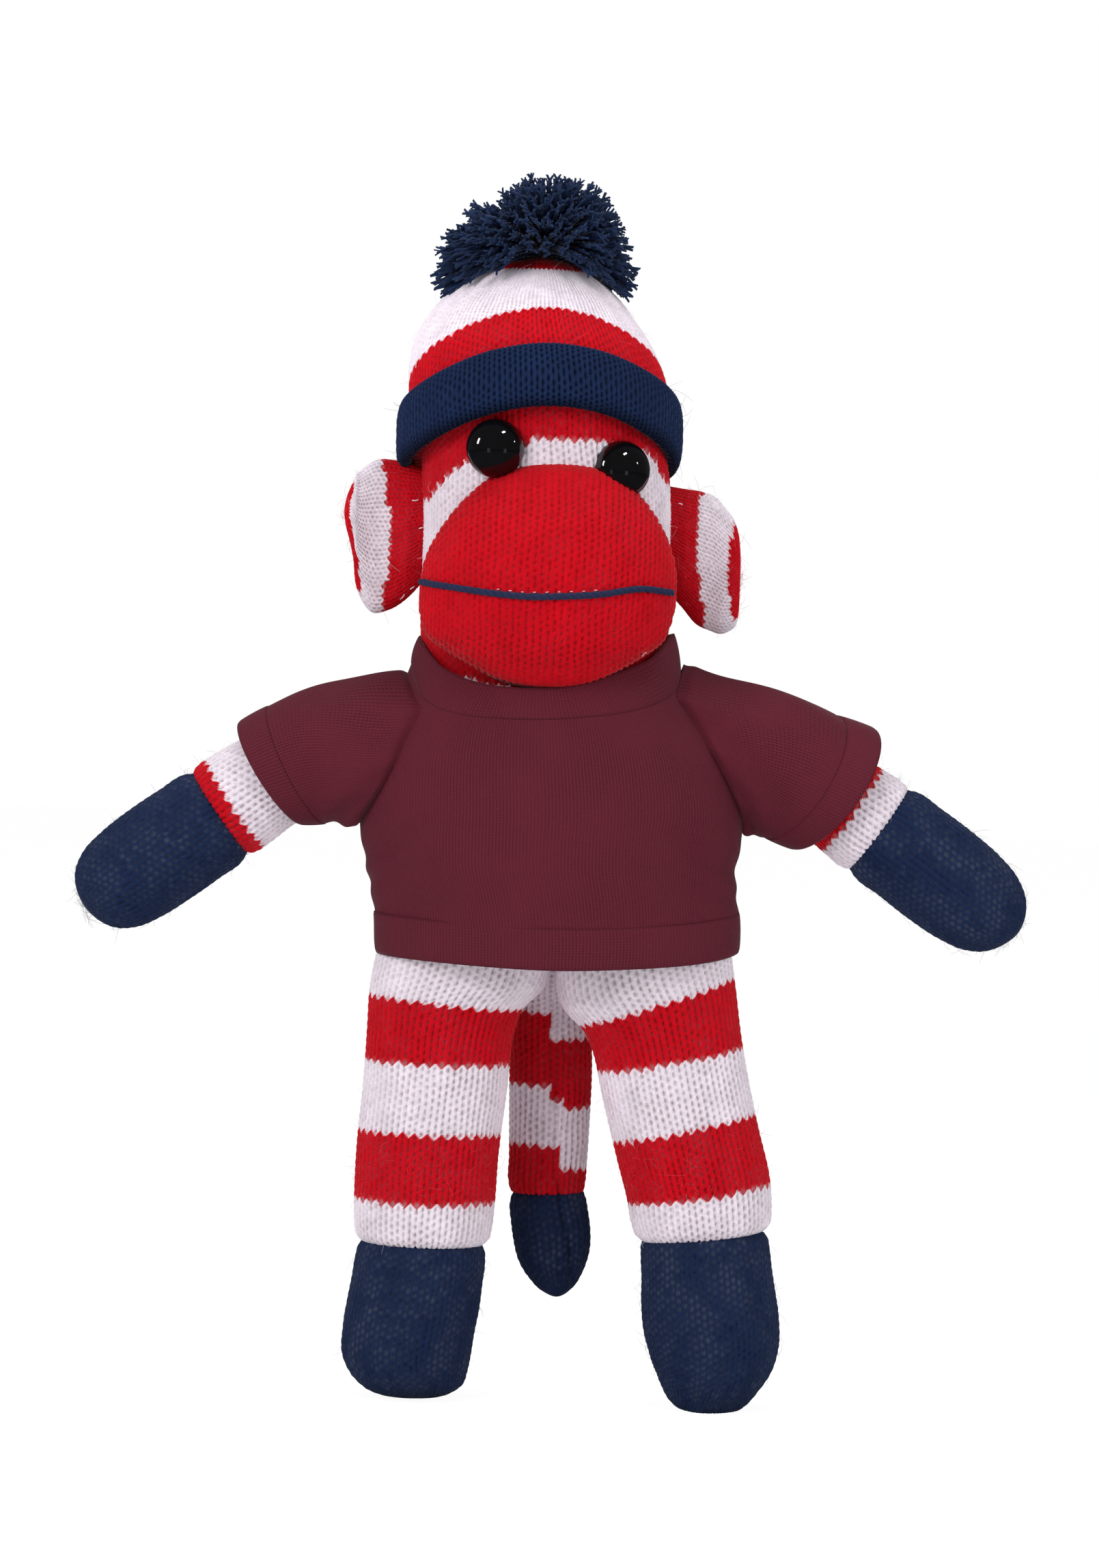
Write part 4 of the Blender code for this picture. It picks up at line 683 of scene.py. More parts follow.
MUZZLE_ROWS = [(-1.8, -10.0, 207.3, 0.0, 0.0), (-1.8, -10.6, 206.4, 8.3, 7.0), (-1.8, -12.0, 204.1, 13.8, 10.5),
               (-1.8, -12.5, 199.5, 18.6, 14.0), (-2.1, -12.8, 193.2, 23.4, 17.5), (-2.7, -13.2, 185.0, 27.0, 19.3),
               (-2.9, -13.4, 180.0, 27.6, 19.6), (-3.3, -13.6, 172.0, 26.9, 18.9), (-3.4, -13.7, 168.9, 25.7, 17.8),
               (-3.5, -13.8, 165.7, 21.8, 15.9), (-3.0, -14.0, 162.5, 16.6, 12.8), (-2.4, -14.5, 159.2, 10.6, 8.6),
               (-2.0, -14.7, 157.8, 5.6, 4.6), (-1.8, -14.8, 157.2, 0.0, 0.0)]
MUZZLE_MIDDLE = (-2.8, 181.0)
MUZZLE_BEND = (29.0, 27.0)
MUZZLE_WALE = 3.0
MOUTH_OUT = 0.55


def muzzle_stitches(surface):
    """Stitch coordinates that run straight over the muzzle's front: the arc lengths of a round form."""
    arcs = [bend * np.arcsin(np.clip((surface[..., axis] - middle) / bend, -0.99, 0.99))
            for axis, middle, bend in zip((0, 2), MUZZLE_MIDDLE, MUZZLE_BEND)]
    return arcs[0] / MUZZLE_WALE + 100.5, arcs[1] / COURSE + 100.0


base = tube_base(MUZZLE_ROWS, 52, True, True, fixed=(0, 0, -1), across_steps=7)
muzzle = dress("muzzle_knit", base, flat_colour(R), 81, stitch_at=muzzle_stitches, hole=0.34, deep=0.7, relief=0.8)
finish_piece(muzzle, "head", ["muzzle_skin", "muzzle_filling"])
fuzz("muzzle_fuzz", muzzle, "head", 300, RED, 73)

MUZZLE_FINE = refine(MUZZLE_ROWS, True, True)[0]
MUZZLE_FINE = MUZZLE_FINE[np.argsort(MUZZLE_FINE[:, 2])]


def mouth_point(x, z):
    """The point just out from the muzzle's front at that x and z."""
    middle_x, middle_y, _, wide, deep = at_height(MUZZLE_FINE, z)
    share = min(max((x - middle_x) / wide, -0.995), 0.995)
    y = middle_y - deep * math.sqrt(1 - share * share)
    normal = Vector((share / wide, -math.sqrt(1 - share * share) / deep, 0)).normalized()
    return np.array((x, y, z)) + np.array(normal) * MOUTH_OUT


# Round threads

PLY_SHARE = 0.58


def strand_faces(rings, sides):
    """Faces of a round strand: between its rings, and to the two end points, which come last."""
    pairs = [(j, (j + 1) % sides) for j in range(sides)]
    starts = [i * sides for i in range(rings)]
    faces = [(a + j, a + k, b + k, b + j) for a, b in zip(starts, starts[1:]) for j, k in pairs]
    end = rings * sides
    return faces + [(end, k, j) for j, k in pairs] + [(end + 1, starts[-1] + j, starts[-1] + k) for j, k in pairs]


def ply(line, first, second, shift, size, phase, sides):
    """Points of a round ply that winds about a line, ring after ring, with its own middle line."""
    turn = np.arange(sides) / sides * TURN
    size = np.broadcast_to(size, len(line))[:, None]
    middle = line + first * (shift * np.cos(phase))[:, None] + second * (shift * np.sin(phase))[:, None]
    rings = (middle[:, None] + first[:, None] * (size * np.cos(turn))[..., None]
             + second[:, None] * (size * np.sin(turn))[..., None])
    return rings.reshape(-1, 3), middle


def thread(path, radius, sides, plies=1, twist=4.0, steps=None):
    """Points and faces of a thread along a path: one round strand, or plies twisted round each other."""
    path = np.asarray(path, float)
    length = run(path)
    steps = steps or max(4, int(length[-1] / (radius * 0.7)))
    spots = np.linspace(0, length[-1], steps)
    line = table_at(spots, length, path)
    aim = unit(np.gradient(line, axis=0))
    level = np.array((0.0, 0.0, 1.0)) if abs(aim[0, 2]) < 0.9 else np.array((1.0, 0.0, 0.0))
    first = unit(np.cross(aim, level))
    second = np.cross(aim, first)
    shift, size = (0.0, radius) if plies == 1 else (radius * (1 - PLY_SHARE), radius * PLY_SHARE)
    points, faces = [], []
    for number in range(plies):
        rings, _ = ply(line, first, second, shift, size, TURN * (number / plies + spots / twist), sides)
        offset = number * (len(rings) + 2)
        points.append(np.concatenate((rings, line[:1], line[-1:])))
        faces += [tuple(i + offset for i in (face[0], *face[:0:-1])) for face in strand_faces(steps, sides)]
    return np.concatenate(points), faces


def join_threads(name, parts, colour):
    """One object from several threads of a colour."""
    points, faces, total = [], [], 0
    for block, block_faces in parts:
        points.append(block)
        faces += [tuple(i + total for i in face) for face in block_faces]
        total += len(block)
    return add_mesh(name, np.concatenate(points), faces, knit_fine, np.tile(colour, (total, 1)))
MOUTH = [(-29.9, 180.0), (-27.0, 179.4), (-22.6, 178.9), (-18.3, 178.3), (-13.4, 177.8), (-8.4, 177.4), (-3.6, 177.5),
         (0.8, 177.8), (5.4, 178.1), (9.9, 178.7), (13.0, 179.4), (16.0, 180.0), (19.6, 179.9), (23.3, 179.2)]
spots = np.linspace(0, len(MOUTH) - 1, 60)
mouth_x, mouth_z = table_at(spots, range(len(MOUTH)), np.array(MOUTH)).T
mouth_z = np.convolve(np.pad(mouth_z, 3, "edge"), np.ones(7) / 7, "valid")
mouth_path = [mouth_point(x, z) for x, z in zip(mouth_x, mouth_z)]
mouth = join_threads("mouth_yarn_strand", [thread(mouth_path, 0.78, 8, 3, 5.0)],
                     YARN_NAVY * 1.5 + np.array((0.011, 0.007, 0.011)))
finish_piece(mouth, "head", ["mouth_yarn"])
DASH_PINK = WHITE * np.array((0.95, 0.72, 0.76))
DASH_RADIUS = 0.13
DASH_LIFT = 0.12


def dashes(name, target, spots, body, colour):
    """Short stitches on the front of a piece: each spot is its x and z and how far it runs in x and z."""
    parts = []
    for x, z, run_x, run_z in spots:
        line = []
        for share, lift in ((-1.0, -1.6), (-0.45, 1.0), (0.45, 1.0), (1.0, -1.6)):
            at = Vector((x + run_x * share, -80.0, z + run_z * share)) * MM
            hit, place, normal, _ = target.ray_cast(at, Vector((0, 1, 0)))
            if hit:
                line.append(np.array(place + normal * (DASH_LIFT * MM * lift)) / MM)
        if len(line) == 4:
            parts.append(thread(line, DASH_RADIUS, 6, steps=7))
    item = join_threads(name, parts, colour)
    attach(item, body)
    return item


bpy.context.view_layer.update()
mouth_spots = [(x, float(np.interp(x, mouth_x, mouth_z)) + 0.95, 0.30, 0.02) for x in np.arange(-13.6, 8.4, 2.6)]
mouth_spots += [(17.9, 165.8, 0.3, 0.3), (18.5, 166.3, 0.25, 0.2)]
dashes("mouth_stitches", muzzle, mouth_spots, "head", DASH_PINK)


# Eyes

EYE_AIM = {"right": (-0.31, -0.95, 0.04), "left": (0.57, -0.81, 0.14)}
EYE_PLACE = {"right": (-15.4, -17.9, 209.2), "left": (12.0, -13.4, 205.6)}
EYE_RADIUS = 6.4
black = gloss_material("eye_black_gloss", (0.0030, 0.0030, 0.0036), 0.045)
washer = gloss_material("washer_white_plastic", (0.80, 0.78, 0.80), 0.4)
for side in SIDES:
    bpy.ops.mesh.primitive_uv_sphere_add(segments=96, ring_count=64, radius=EYE_RADIUS * MM)
    eye = bpy.context.object
    eye.name = "eye_dome_" + side
    eye.location = Vector(EYE_PLACE[side]) * MM
    eye.rotation_mode = "QUATERNION"
    eye.rotation_quaternion = Vector(EYE_AIM[side]).normalized().to_track_quat("Z", "Y")
    eye.scale = (1.0, 1.0, 0.90)
    bpy.ops.object.shade_smooth()
    eye.data.materials.append(black)
    bpy.context.view_layer.update()
    finish_piece(eye, "head", ["eye_" + side])


# Ears

EAR_ROWS = {
    "right": [(-30.5, 192.6, 12.2, 4.3), (-34.2, 191.0, 14.7, 4.7), (-38.2, 190.0, 16.4, 5.0),
              (-41.5, 189.7, 16.7, 5.0), (-44.0, 190.3, 14.4, 4.7), (-45.0, 191.0, 12.8, 4.4),
              (-46.0, 193.8, 9.0, 3.8), (-47.0, 194.6, 5.8, 3.0), (-48.0, 194.9, 2.8, 1.8),
              (-48.4, 195.0, 0.0, 0.0)],
    "left": [(23.0, 191.5, 11.2, 4.3), (26.8, 189.3, 12.9, 4.7), (30.1, 187.3, 14.5, 5.0),
             (33.0, 186.2, 14.6, 5.0), (35.5, 184.6, 13.6, 4.8), (37.2, 183.9, 12.2, 4.3),
             (38.4, 182.8, 10.0, 3.4), (38.9, 182.2, 7.6, 2.4), (39.1, 182.0, 0.0, 0.0)],
}
EAR_EDGE = {"right": [(170.0, 40.6), (175.0, 39.6), (181.0, 38.4), (190.0, 38.2), (198.0, 38.8), (206.0, 40.4)],
            "left": [(170.0, 32.2), (174.0, 31.4), (182.0, 30.2), (190.0, 29.4), (198.0, 29.6), (204.0, 30.6)]}
EAR_RIM = {"right": [(171.0, 60.0), (176.5, 60.0), (177.0, 44.0), (184.8, 45.0), (189.0, 45.9), (194.0, 47.2),
                     (196.1, 47.3), (199.5, 46.4), (201.0, 46.2), (201.5, 60.0)],
           "left": [(166.0, 60.0), (173.4, 60.0), (174.0, 37.8), (176.0, 37.4), (182.0, 36.2), (190.0, 36.3),
                    (195.0, 37.2), (195.5, 60.0)]}
EAR_DASHES = {"right": [(-32.8, 197.8, 0.75, 0.05), (-30.2, 197.4, 0.45, -0.1), (-35.0, 176.5, 0.55, 0.6),
                        (-32.9, 178.6, 0.6, 0.45), (-30.3, 179.5, 0.9, 0.35), (-31.3, 191.8, 0.5, 0.05)],
              "left": [(24.7, 176.4, 0.7, -0.3), (26.6, 175.2, 0.5, -0.35), (25.4, 199.0, 0.5, -0.1)]}
EAR_WALE = 1.9
EAR_COURSE = 1.15
EAR_WALES = 36


def cupped(base, side):
    """Bends the ear so that its rim stands a little forward and its middle sinks."""
    surface = base["surface"]
    out = np.clip((np.abs(surface[..., 0]) - abs(EAR_ROWS[side][1][0])) / 14.0, 0, 1)
    tall = (surface[..., 2] - 189.0) / 16.0
    sink = np.where(surface[..., 1] < HEAD_Y, 3.0, 2.0) * np.sin(math.pi * np.clip(out * 0.95 + 0.05, 0, 1))
    surface[..., 1] += sink * np.exp(-(tall * 1.3) ** 2)
    surface[..., 1] -= 1.8 * out ** 2
    return base


def ear_colour(side):
    """Red up to the edge and beyond the rim, white between them."""
    def pick(spot, middle, row, column):
        out = np.abs(spot[..., 0])
        edge, rim = [pairs_at(spot[..., 2], table[side]) for table in (EAR_EDGE, EAR_RIM)]
        return np.where((out < edge) | (out > rim), R, W)
    return pick


for side, sign in SIDES.items():
    base = tube_base(in_plane(HEAD_Y, EAR_ROWS[side]), EAR_WALES, round_last=True, fixed=(sign, 0, 0),
                     course=EAR_COURSE, across_steps=6)
    ear = dress("ear_knit_" + side, cupped(base, side), ear_colour(side), 91 + sign, wale=EAR_WALE, course=EAR_COURSE,
                relief=0.7)
    finish_piece(ear, "ear_" + side, ["ear_" + side])
    fuzz("ear_fuzz_" + side, ear, "ear_" + side, 150, WHITE, 81 + sign)
    bpy.context.view_layer.update()
    dashes("ear_stitches_" + side, ear, EAR_DASHES[side], "ear_" + side, WHITE)


# Hat: rows of x, z, half width and half depth
HAT_ROWS = [(-6.0, 200.0, 28.1, 25.0), (-6.0, 208.0, 28.1, 25.0), (-6.2, 217.0, 28.2, 24.9),
            (-6.8, 224.2, 28.2, 24.5), (-7.5, 228.8, 27.4, 23.6), (-8.1, 233.2, 25.8, 22.2),
            (-8.5, 237.6, 23.2, 20.0), (-8.4, 243.2, 18.8, 16.2), (-7.9, 247.4, 13.4, 11.6),
            (-7.4, 250.8, 6.8, 6.0), (-7.1, 252.1, 0.0, 0.0)]
HAT_TILT = 0.62
HAT_LEAN = 0.12
HAT_RATIO = 0.88
HAT_LOW = 212.0
HAT_FINE, HAT_FAR = refine(in_plane(HEAD_Y, HAT_ROWS), round_last=True)


def hat_base(wales, across_steps):
    """The crown's smooth surface, whose rows of stitches dip to the back and lean to one side."""
    first = np.interp(HAT_LOW, HAT_FINE[:, 2], HAT_FAR)
    courses = round((HAT_FAR[-1] - first) / COURSE)
    count = courses * ALONG_STEPS + 1
    along = np.linspace(first, HAT_FAR[-1] * 0.999, count)
    height = np.interp(along, HAT_FAR, HAT_FINE[:, 2])
    deep = np.interp(along, HAT_FAR, HAT_FINE[:, 4])
    angle = even_turns(wales * across_steps, HAT_RATIO)
    share = np.clip((251.5 - height) / 30.0, 0, 1)
    share = share * share * (3 - 2 * share)
    z = height[:, None] - (deep * share)[:, None] * (HAT_TILT * np.cos(angle) + HAT_LEAN * np.sin(angle))
    front = height + HAT_TILT * deep * share
    return stitched(point_on(HAT_FINE, z, np.broadcast_to(angle, z.shape)), across_steps, courses,
                    courses * np.linspace(0, 1, count), np.stack((height * 0, height * 0, front), 1),
                    np.tile((0.0, 0.0, 1.0), (count, 1)), last=True)


base = hat_base(68, 8)
front_height = base["middle"][:, 2]
courses = base["courses"]


def crown_colour(spot, middle, row, column):
    where = np.interp(np.clip(row + 0.5, 0, courses), np.linspace(0, courses, len(front_height)), front_height)
    return np.array((R, W, R))[np.searchsorted((239.6, 248.9), where)]


# Painted light: the crown's yarns are painted 1.16 times lighter than the same yarns elsewhere.
crown = dress("hat_crown_knit", base, crown_colour, 101, wale=2.5, hole=0.55, relief=0.85,
              shade_by=lambda surface: 1.16)
finish_piece(crown, "head", ["hat_crown"])
fuzz("hat_crown_fuzz", crown, "head", 300, WHITE, 91)

BRIM_MIDDLE = [(0, 202.0), (90, 211.4), (122, 216.2), (137, 219.2), (160, 223.6), (185, 225.9), (210, 224.4),
               (235, 219.8), (270, 213.6)]
BRIM_HALF = 6.6
BRIM_ROUND = 17.6
BRIM_WALE = 2.3
BRIM_COURSE = 1.5


def brim_base(wales, across_steps):
    """The brim's smooth surface: a flattened roll that stands out from the hat, open at the back of the roll."""
    angle = even_turns(wales * across_steps, HAT_RATIO)
    courses = round(BRIM_ROUND / BRIM_COURSE)
    share = np.concatenate((np.linspace(-0.36, -0.26, 4)[:-1], np.linspace(-0.25, 0.25, courses * ALONG_STEPS + 1),
                            np.linspace(0.26, 0.36, 4)[1:]))
    lift, out = [np.sign(wave) * np.abs(wave) ** power
                 for wave, power in ((np.sin(share * TURN), 0.80), (np.cos(share * TURN), 0.62))]
    middle = round_line(BRIM_MIDDLE, angle)
    z = middle[None] + BRIM_HALF * lift[:, None]
    wall = point_on(HAT_FINE, np.clip(0.5 * z + 0.5 * middle[None], 200, 246), np.broadcast_to(angle, z.shape))
    radial = unit(np.stack((-np.sin(angle) * HAT_RATIO, np.cos(angle), 0 * angle), -1))
    surface = wall + radial[None] * (1.35 + 1.75 * out)[:, None, None]
    surface[..., 2] = z
    return stitched(surface, across_steps, courses, np.interp(share, (-0.25, 0.25), (0, courses)), surface[:, 0],
                    np.tile((0.0, 0.0, 1.0), (len(share), 1)))


def brim_shade(surface):
    """Painted shadow, darker where the brim rolls under, on a brim made 1.22 times lighter all over."""
    angle = np.arctan2(-(surface[..., 0] + 6.3) / 28.0, (surface[..., 1] - HEAD_Y) / 24.6)
    low = (surface[..., 2] - round_line(BRIM_MIDDLE, angle)) / BRIM_HALF
    return 1.22 * (1 - 0.62 * np.clip((-0.62 - low) / 0.38, 0, 1))


# Painted shade: the brim's holes are painted near black and its grooves painted darker.
brim = dress("hat_brim_knit", brim_base(78, 8), flat_colour(N), 111, wale=BRIM_WALE, course=BRIM_COURSE, hole=0.75,
             deep=1.5, pits=(0.0035, 0.0055, 0.016), shade_by=brim_shade, closed=False)
finish_piece(brim, "head", ["hat_brim"])
fuzz("hat_brim_fuzz", brim, "head", 320, NAVY_FIBRE, 93)
# Bobble

BOBBLE_ROOT = np.array((-6.8, 5.3, 252.4))
BOBBLE_MIDDLE = np.array((-6.8, 5.3, 250.0))
BOBBLE_REACH = [(-40, 18.5), (-21, 20.6), (-13, 22.0), (0, 21.4), (18, 20.4), (35, 21.0), (50, 22.0), (66, 22.4),
                (79, 21.4), (107, 20.8), (122, 19.4), (130, 17.0), (138, 21.6), (148, 21.6), (158, 21.6), (172, 25.0),
                (200, 25.8), (220, 20.0)]
BOBBLE_DEPTH = 19.0
BOBBLE_STEPS = 10
BOBBLE_SIDES = 4


def bobble():
    """Cut yarn ends that fan out from the top of the hat: two twisted plies each, which part at the tip."""
    rng = np.random.default_rng(7)
    points, faces, shades = [], [], []
    count = 860
    t = np.linspace(0.06, 1, BOBBLE_STEPS)[:, None]
    strand = strand_faces(BOBBLE_STEPS, BOBBLE_SIDES)
    made = spin = total = 0
    while made < count:
        spin += 1
        up = 1.0 - 1.36 * ((spin * 0.7548777) % 1.0)
        around = TURN * ((spin * 0.5698403) % 1.0)
        flat = math.sqrt(max(1 - up * up, 0))
        aim = unit(np.array((flat * math.cos(around), flat * math.sin(around), up)) + rng.normal(0, 0.07, 3))
        lowest = -0.34 * min(1.0, abs(aim[0]) * 1.25) if aim[1] < 0.25 else -0.30
        if aim[2] < lowest + (0.10 if aim[1] < -0.3 else 0.0):
            continue
        made += 1
        bearing = math.degrees(math.atan2(aim[2], aim[0]))
        bearing = bearing + 360 if bearing < -60 else bearing
        reach = float(pairs_at(bearing, BOBBLE_REACH))
        sideways = math.hypot(aim[0], aim[2])
        length = 1.0 / math.sqrt((sideways / reach) ** 2 + (aim[1] / BOBBLE_DEPTH) ** 2)
        end = BOBBLE_MIDDLE + aim * length * rng.uniform(0.84, 1.0)
        half = (BOBBLE_ROOT + end) / 2 + np.array((0, 0, 3.4 * (1 - max(aim[2], 0)))) + rng.normal(0, 0.55, 3)
        line = BOBBLE_ROOT * (1 - t) ** 2 + half * 2 * t * (1 - t) + end * t ** 2
        heading = unit(np.gradient(line, axis=0))
        first = unit(np.cross(heading, rng.normal(0, 1, 3)))
        second = np.cross(heading, first)
        thick = rng.uniform(0.34, 0.46)
        tone = rng.uniform(0.8, 1.25)
        # Painted shade and light: each strand is painted darker toward its root, inside the bobble, and lighter and
        # bluer toward its tip; tone differs at random from strand to strand.
        lit = YARN_NAVY * tone * (0.55 + 1.15 * t ** 2) + np.array((0.004, 0.007, 0.012)) * t ** 4
        pitch = rng.uniform(3.2, 4.6)
        shift = thick * (0.78 + 1.1 * np.clip((t[:, 0] - 0.8) / 0.2, 0, 1) ** 2)
        size = thick * (1 - 0.35 * np.clip((t[:, 0] - 0.85) / 0.15, 0, 1))
        for number in range(2):
            phase = TURN * (number / 2 + run(line) / pitch)
            rings, middle = ply(line, first, second, shift, size, phase, BOBBLE_SIDES)
            points.append(np.concatenate((rings, middle[:1], middle[-1:])))
            shades.append(np.concatenate((np.repeat(lit, BOBBLE_SIDES, 0), lit[:1], lit[-1:])))
            faces += [tuple(corner + total for corner in face) for face in strand]
            total += len(points[-1])
    return np.concatenate(points), faces, np.concatenate(shades)
points, faces, shades = bobble()
pompom = add_mesh("bobble_yarn", points, faces, knit_fine, shades)
finish_piece(pompom, "head", ["pompom", "pompom_tie"])


# Shirt

SHIRT_ROWS = [(1.4, 3.1, 92.0, 38.8, 25.9), (1.7, 3.1, 99.0, 40.0, 26.8), (1.5, 2.9, 106.0, 40.2, 26.9),
              (0.4, 2.7, 113.0, 40.8, 27.3), (-0.8, 2.6, 119.0, 41.5, 27.9), (-0.9, 2.6, 125.0, 41.9, 28.2),
              (-0.8, 2.7, 131.0, 42.4, 28.4), (-1.1, 2.8, 136.0, 42.1, 28.2), (-1.5, 2.9, 141.0, 41.3, 27.7),
              (-1.9, 3.0, 146.5, 39.3, 27.1), (-2.3, 3.1, 152.0, 35.7, 26.3), (-2.6, 3.2, 157.0, 31.9, 25.7),
              (-2.9, 3.3, 163.0, 29.2, 25.3)]
SHIRT_FINE = refine(SHIRT_ROWS)[0]
COLLAR_LOW = [(0, 161.5), (45, 162.2), (90, 163.0), (106, 160.8), (126, 154.4), (147, 151.3), (176, 150.8),
              (205, 152.6), (227, 155.3), (249, 158.8), (270, 163.6), (315, 162.5)]
COLLAR_TOP = [(0, 167.0), (60, 168.0), (90, 168.4), (108, 166.2), (125, 162.0), (139, 159.5), (152, 158.2),
              (170, 157.6), (190, 158.2), (213, 161.7), (227, 163.8), (242, 166.4), (252, 169.4), (270, 171.0),
              (315, 169.0)]
HEM_LOW = [(0, 97.0), (90, 98.3), (135, 97.8), (180, 97.0), (225, 98.7), (270, 101.3)]
HEM_TALL = 9.0
# Each fold: middle x and z, tilt, depth, half length and half width
FOLDS = ((-37, 122, 0.5, 1.3, 14, 2.6), (-35, 116, 0.35, 1.0, 11, 2.2), (36, 121, -0.5, 1.2, 13, 2.6),
         (37, 114, -0.3, 0.9, 10, 2.2), (-30, 109, 0.15, 0.6, 12, 2.4), (14, 108, -0.1, 0.5, 16, 3.0))
CLOTH_THICK = 0.7
BAND_THICK = 1.3
SHIRT_ANGLE = np.arange(360) / 360 * TURN
SLEEVE_COUNT = 168


def folds(x, z):
    """Soft wrinkles of the shirt's body, in millimetres outward."""
    out = 0.55 * np.sin(0.20 * x + 0.10 * z) * np.exp(-((z - 118) / 14) ** 2)
    for cx, cz, tilt, depth, long, wide in FOLDS:
        a = (x - cx) * math.cos(tilt) + (z - cz) * math.sin(tilt)
        b = -(x - cx) * math.sin(tilt) + (z - cz) * math.cos(tilt)
        out = out - depth * np.exp(-(a / long) ** 2 - (b / wide) ** 2)
    return out

def cloth_grid(name, surface, u, v, thick):
    """A closed sheet with two faces: the surface and the same moved in, joined at its two edges. u and v are the
    cloth's millimetres round it and down it."""
    rows, columns, _ = surface.shape
    normal = np.cross(np.roll(surface, -1, 1) - np.roll(surface, 1, 1), np.gradient(surface, axis=0))
    normal /= np.maximum(np.linalg.norm(normal, axis=2), 1e-9)[..., None]
    inside = surface - normal * thick
    both = np.concatenate((surface, inside[::-1]))
    total = 2 * rows
    row = np.arange(total)[:, None] * columns
    here = np.arange(columns)[None, :]
    after = (here + 1) % columns
    below = (np.arange(total)[:, None] + 1) % total * columns
    flat = np.stack((row + here, row + after, below + after, below + here), -1).reshape(-1)
    us = np.tile(u, total)[flat].reshape(-1, 4)
    vs = np.repeat(np.concatenate((v, v[::-1])), columns)[flat].reshape(-1, 4)
    wrap = np.broadcast_to(here == columns - 1, (total, columns)).reshape(-1)
    us[wrap, 1:3] += u.max() * columns / (columns - 1)
    cloth = np.stack((us, vs), -1).reshape(-1, 2)
    return add_mesh(name, both.reshape(-1, 3), (flat, np.full(len(us), 4)), jersey, cloth=cloth)


def girth(ring):
    """How far round a ring each of its points lies, and the whole way round."""
    steps = np.linalg.norm(np.roll(ring, -1, 0) - ring, axis=1)
    return np.concatenate(([0.0], np.cumsum(steps)[:-1])), steps.sum()


def shirt_body(rows=130):
    low = round_line(HEM_LOW, SHIRT_ANGLE) + 4.0
    high = round_line(COLLAR_LOW, SHIRT_ANGLE) + 0.3
    z = low + (high - low) * np.linspace(0, 1, rows)[:, None]
    angle = np.broadcast_to(SHIRT_ANGLE, z.shape)
    surface = point_on(SHIRT_FINE, z, angle)
    surface = point_on(SHIRT_FINE, z, angle, folds(surface[..., 0], z))
    down = np.concatenate(([0.0], np.cumsum(np.linalg.norm(np.diff(surface, axis=0), axis=2).mean(1))))
    u, around = girth(surface[rows // 3])
    return cloth_grid("shirt_body_cloth", surface, u, down, CLOTH_THICK), around, down[-1]


body, body_round, body_tall = shirt_body()
finish_piece(body, "torso", ["shirt_front", "shirt_back"])
RAGLAN = {
    "right": [(-42.3, 126.4), (-39.9, 131.0), (-37.2, 135.1), (-34.3, 140.6), (-32.0, 146.5), (-28.6, 152.6)],
    "left": [(42.2, 127.0), (39.2, 134.4), (36.0, 140.8), (32.8, 146.0), (29.0, 152.0), (25.2, 157.2)],
}
# Each cuff: x and z of its top and bottom and its half depth, at its seam and at its mouth, and its forward swing
CUFF = {
    "right": ((-63.3, 150.9, -50.3, 126.8, 13.2), (-69.5, 147.2, -55.6, 126.4, 12.8), 2.2),
    "left": ((61.8, 152.9, 46.6, 127.2, 13.8), (69.6, 150.5, 52.4, 125.0, 14.2), 5.4),
}
COLLAR_SIDE = {"right": (-32.0, 160.2), "left": (27.4, 164.6)}
SHOULDER_FALL = {"right": 0.00, "left": -0.50}
# How far round the sleeve's root each of its corners lies, from the armpit up the front, over and down the back
ROOT_MARKS = (0, 0.08, 0.155, 0.24, 0.325, 0.405, 0.455, 0.5, 0.545, 0.595, 0.675, 0.76, 0.845, 0.92, 1.0)


def front_point(x, z):
    """The point on the front of the shirt's body at that x and z."""
    middle, _, _, wide, _ = at_height(SHIRT_FINE, z)
    angle = math.pi - math.asin(min(max(-(x - middle) / wide, -1), 1))
    return point_on(SHIRT_FINE, np.array(z), np.array(angle))


def mirrored(points, y):
    """The same points on the other side of the plane at y."""
    out = points.copy()
    out[..., 1] = 2 * y - out[..., 1]
    return out


def root_ring(side):
    """The closed line where a sleeve is sewn to the shirt, from the armpit up the front, over and down the back."""
    front = np.array([front_point(x, z) for x, z in RAGLAN[side]])
    top_x, top_z = COLLAR_SIDE[side]
    top = np.array([(front[-1, 0] * 0.35 + top_x * 0.65, front[-1, 1] * 0.5 + 1.6, front[-1, 2] * 0.35 + top_z * 0.65),
                    (top_x, LIMB_Y, top_z)])
    closed = np.concatenate((front, top, mirrored(top[:1], LIMB_Y), mirrored(front[:0:-1], 3.2), front[:1]))
    line = table_at(np.arange(SLEEVE_COUNT) / SLEEVE_COUNT, ROOT_MARKS, closed)
    kernel = np.hanning(9)
    kernel /= kernel.sum()
    padded = np.concatenate((line[-4:], line, line[:4]))
    return np.stack([np.convolve(column, kernel, "valid") for column in padded.T], 1)


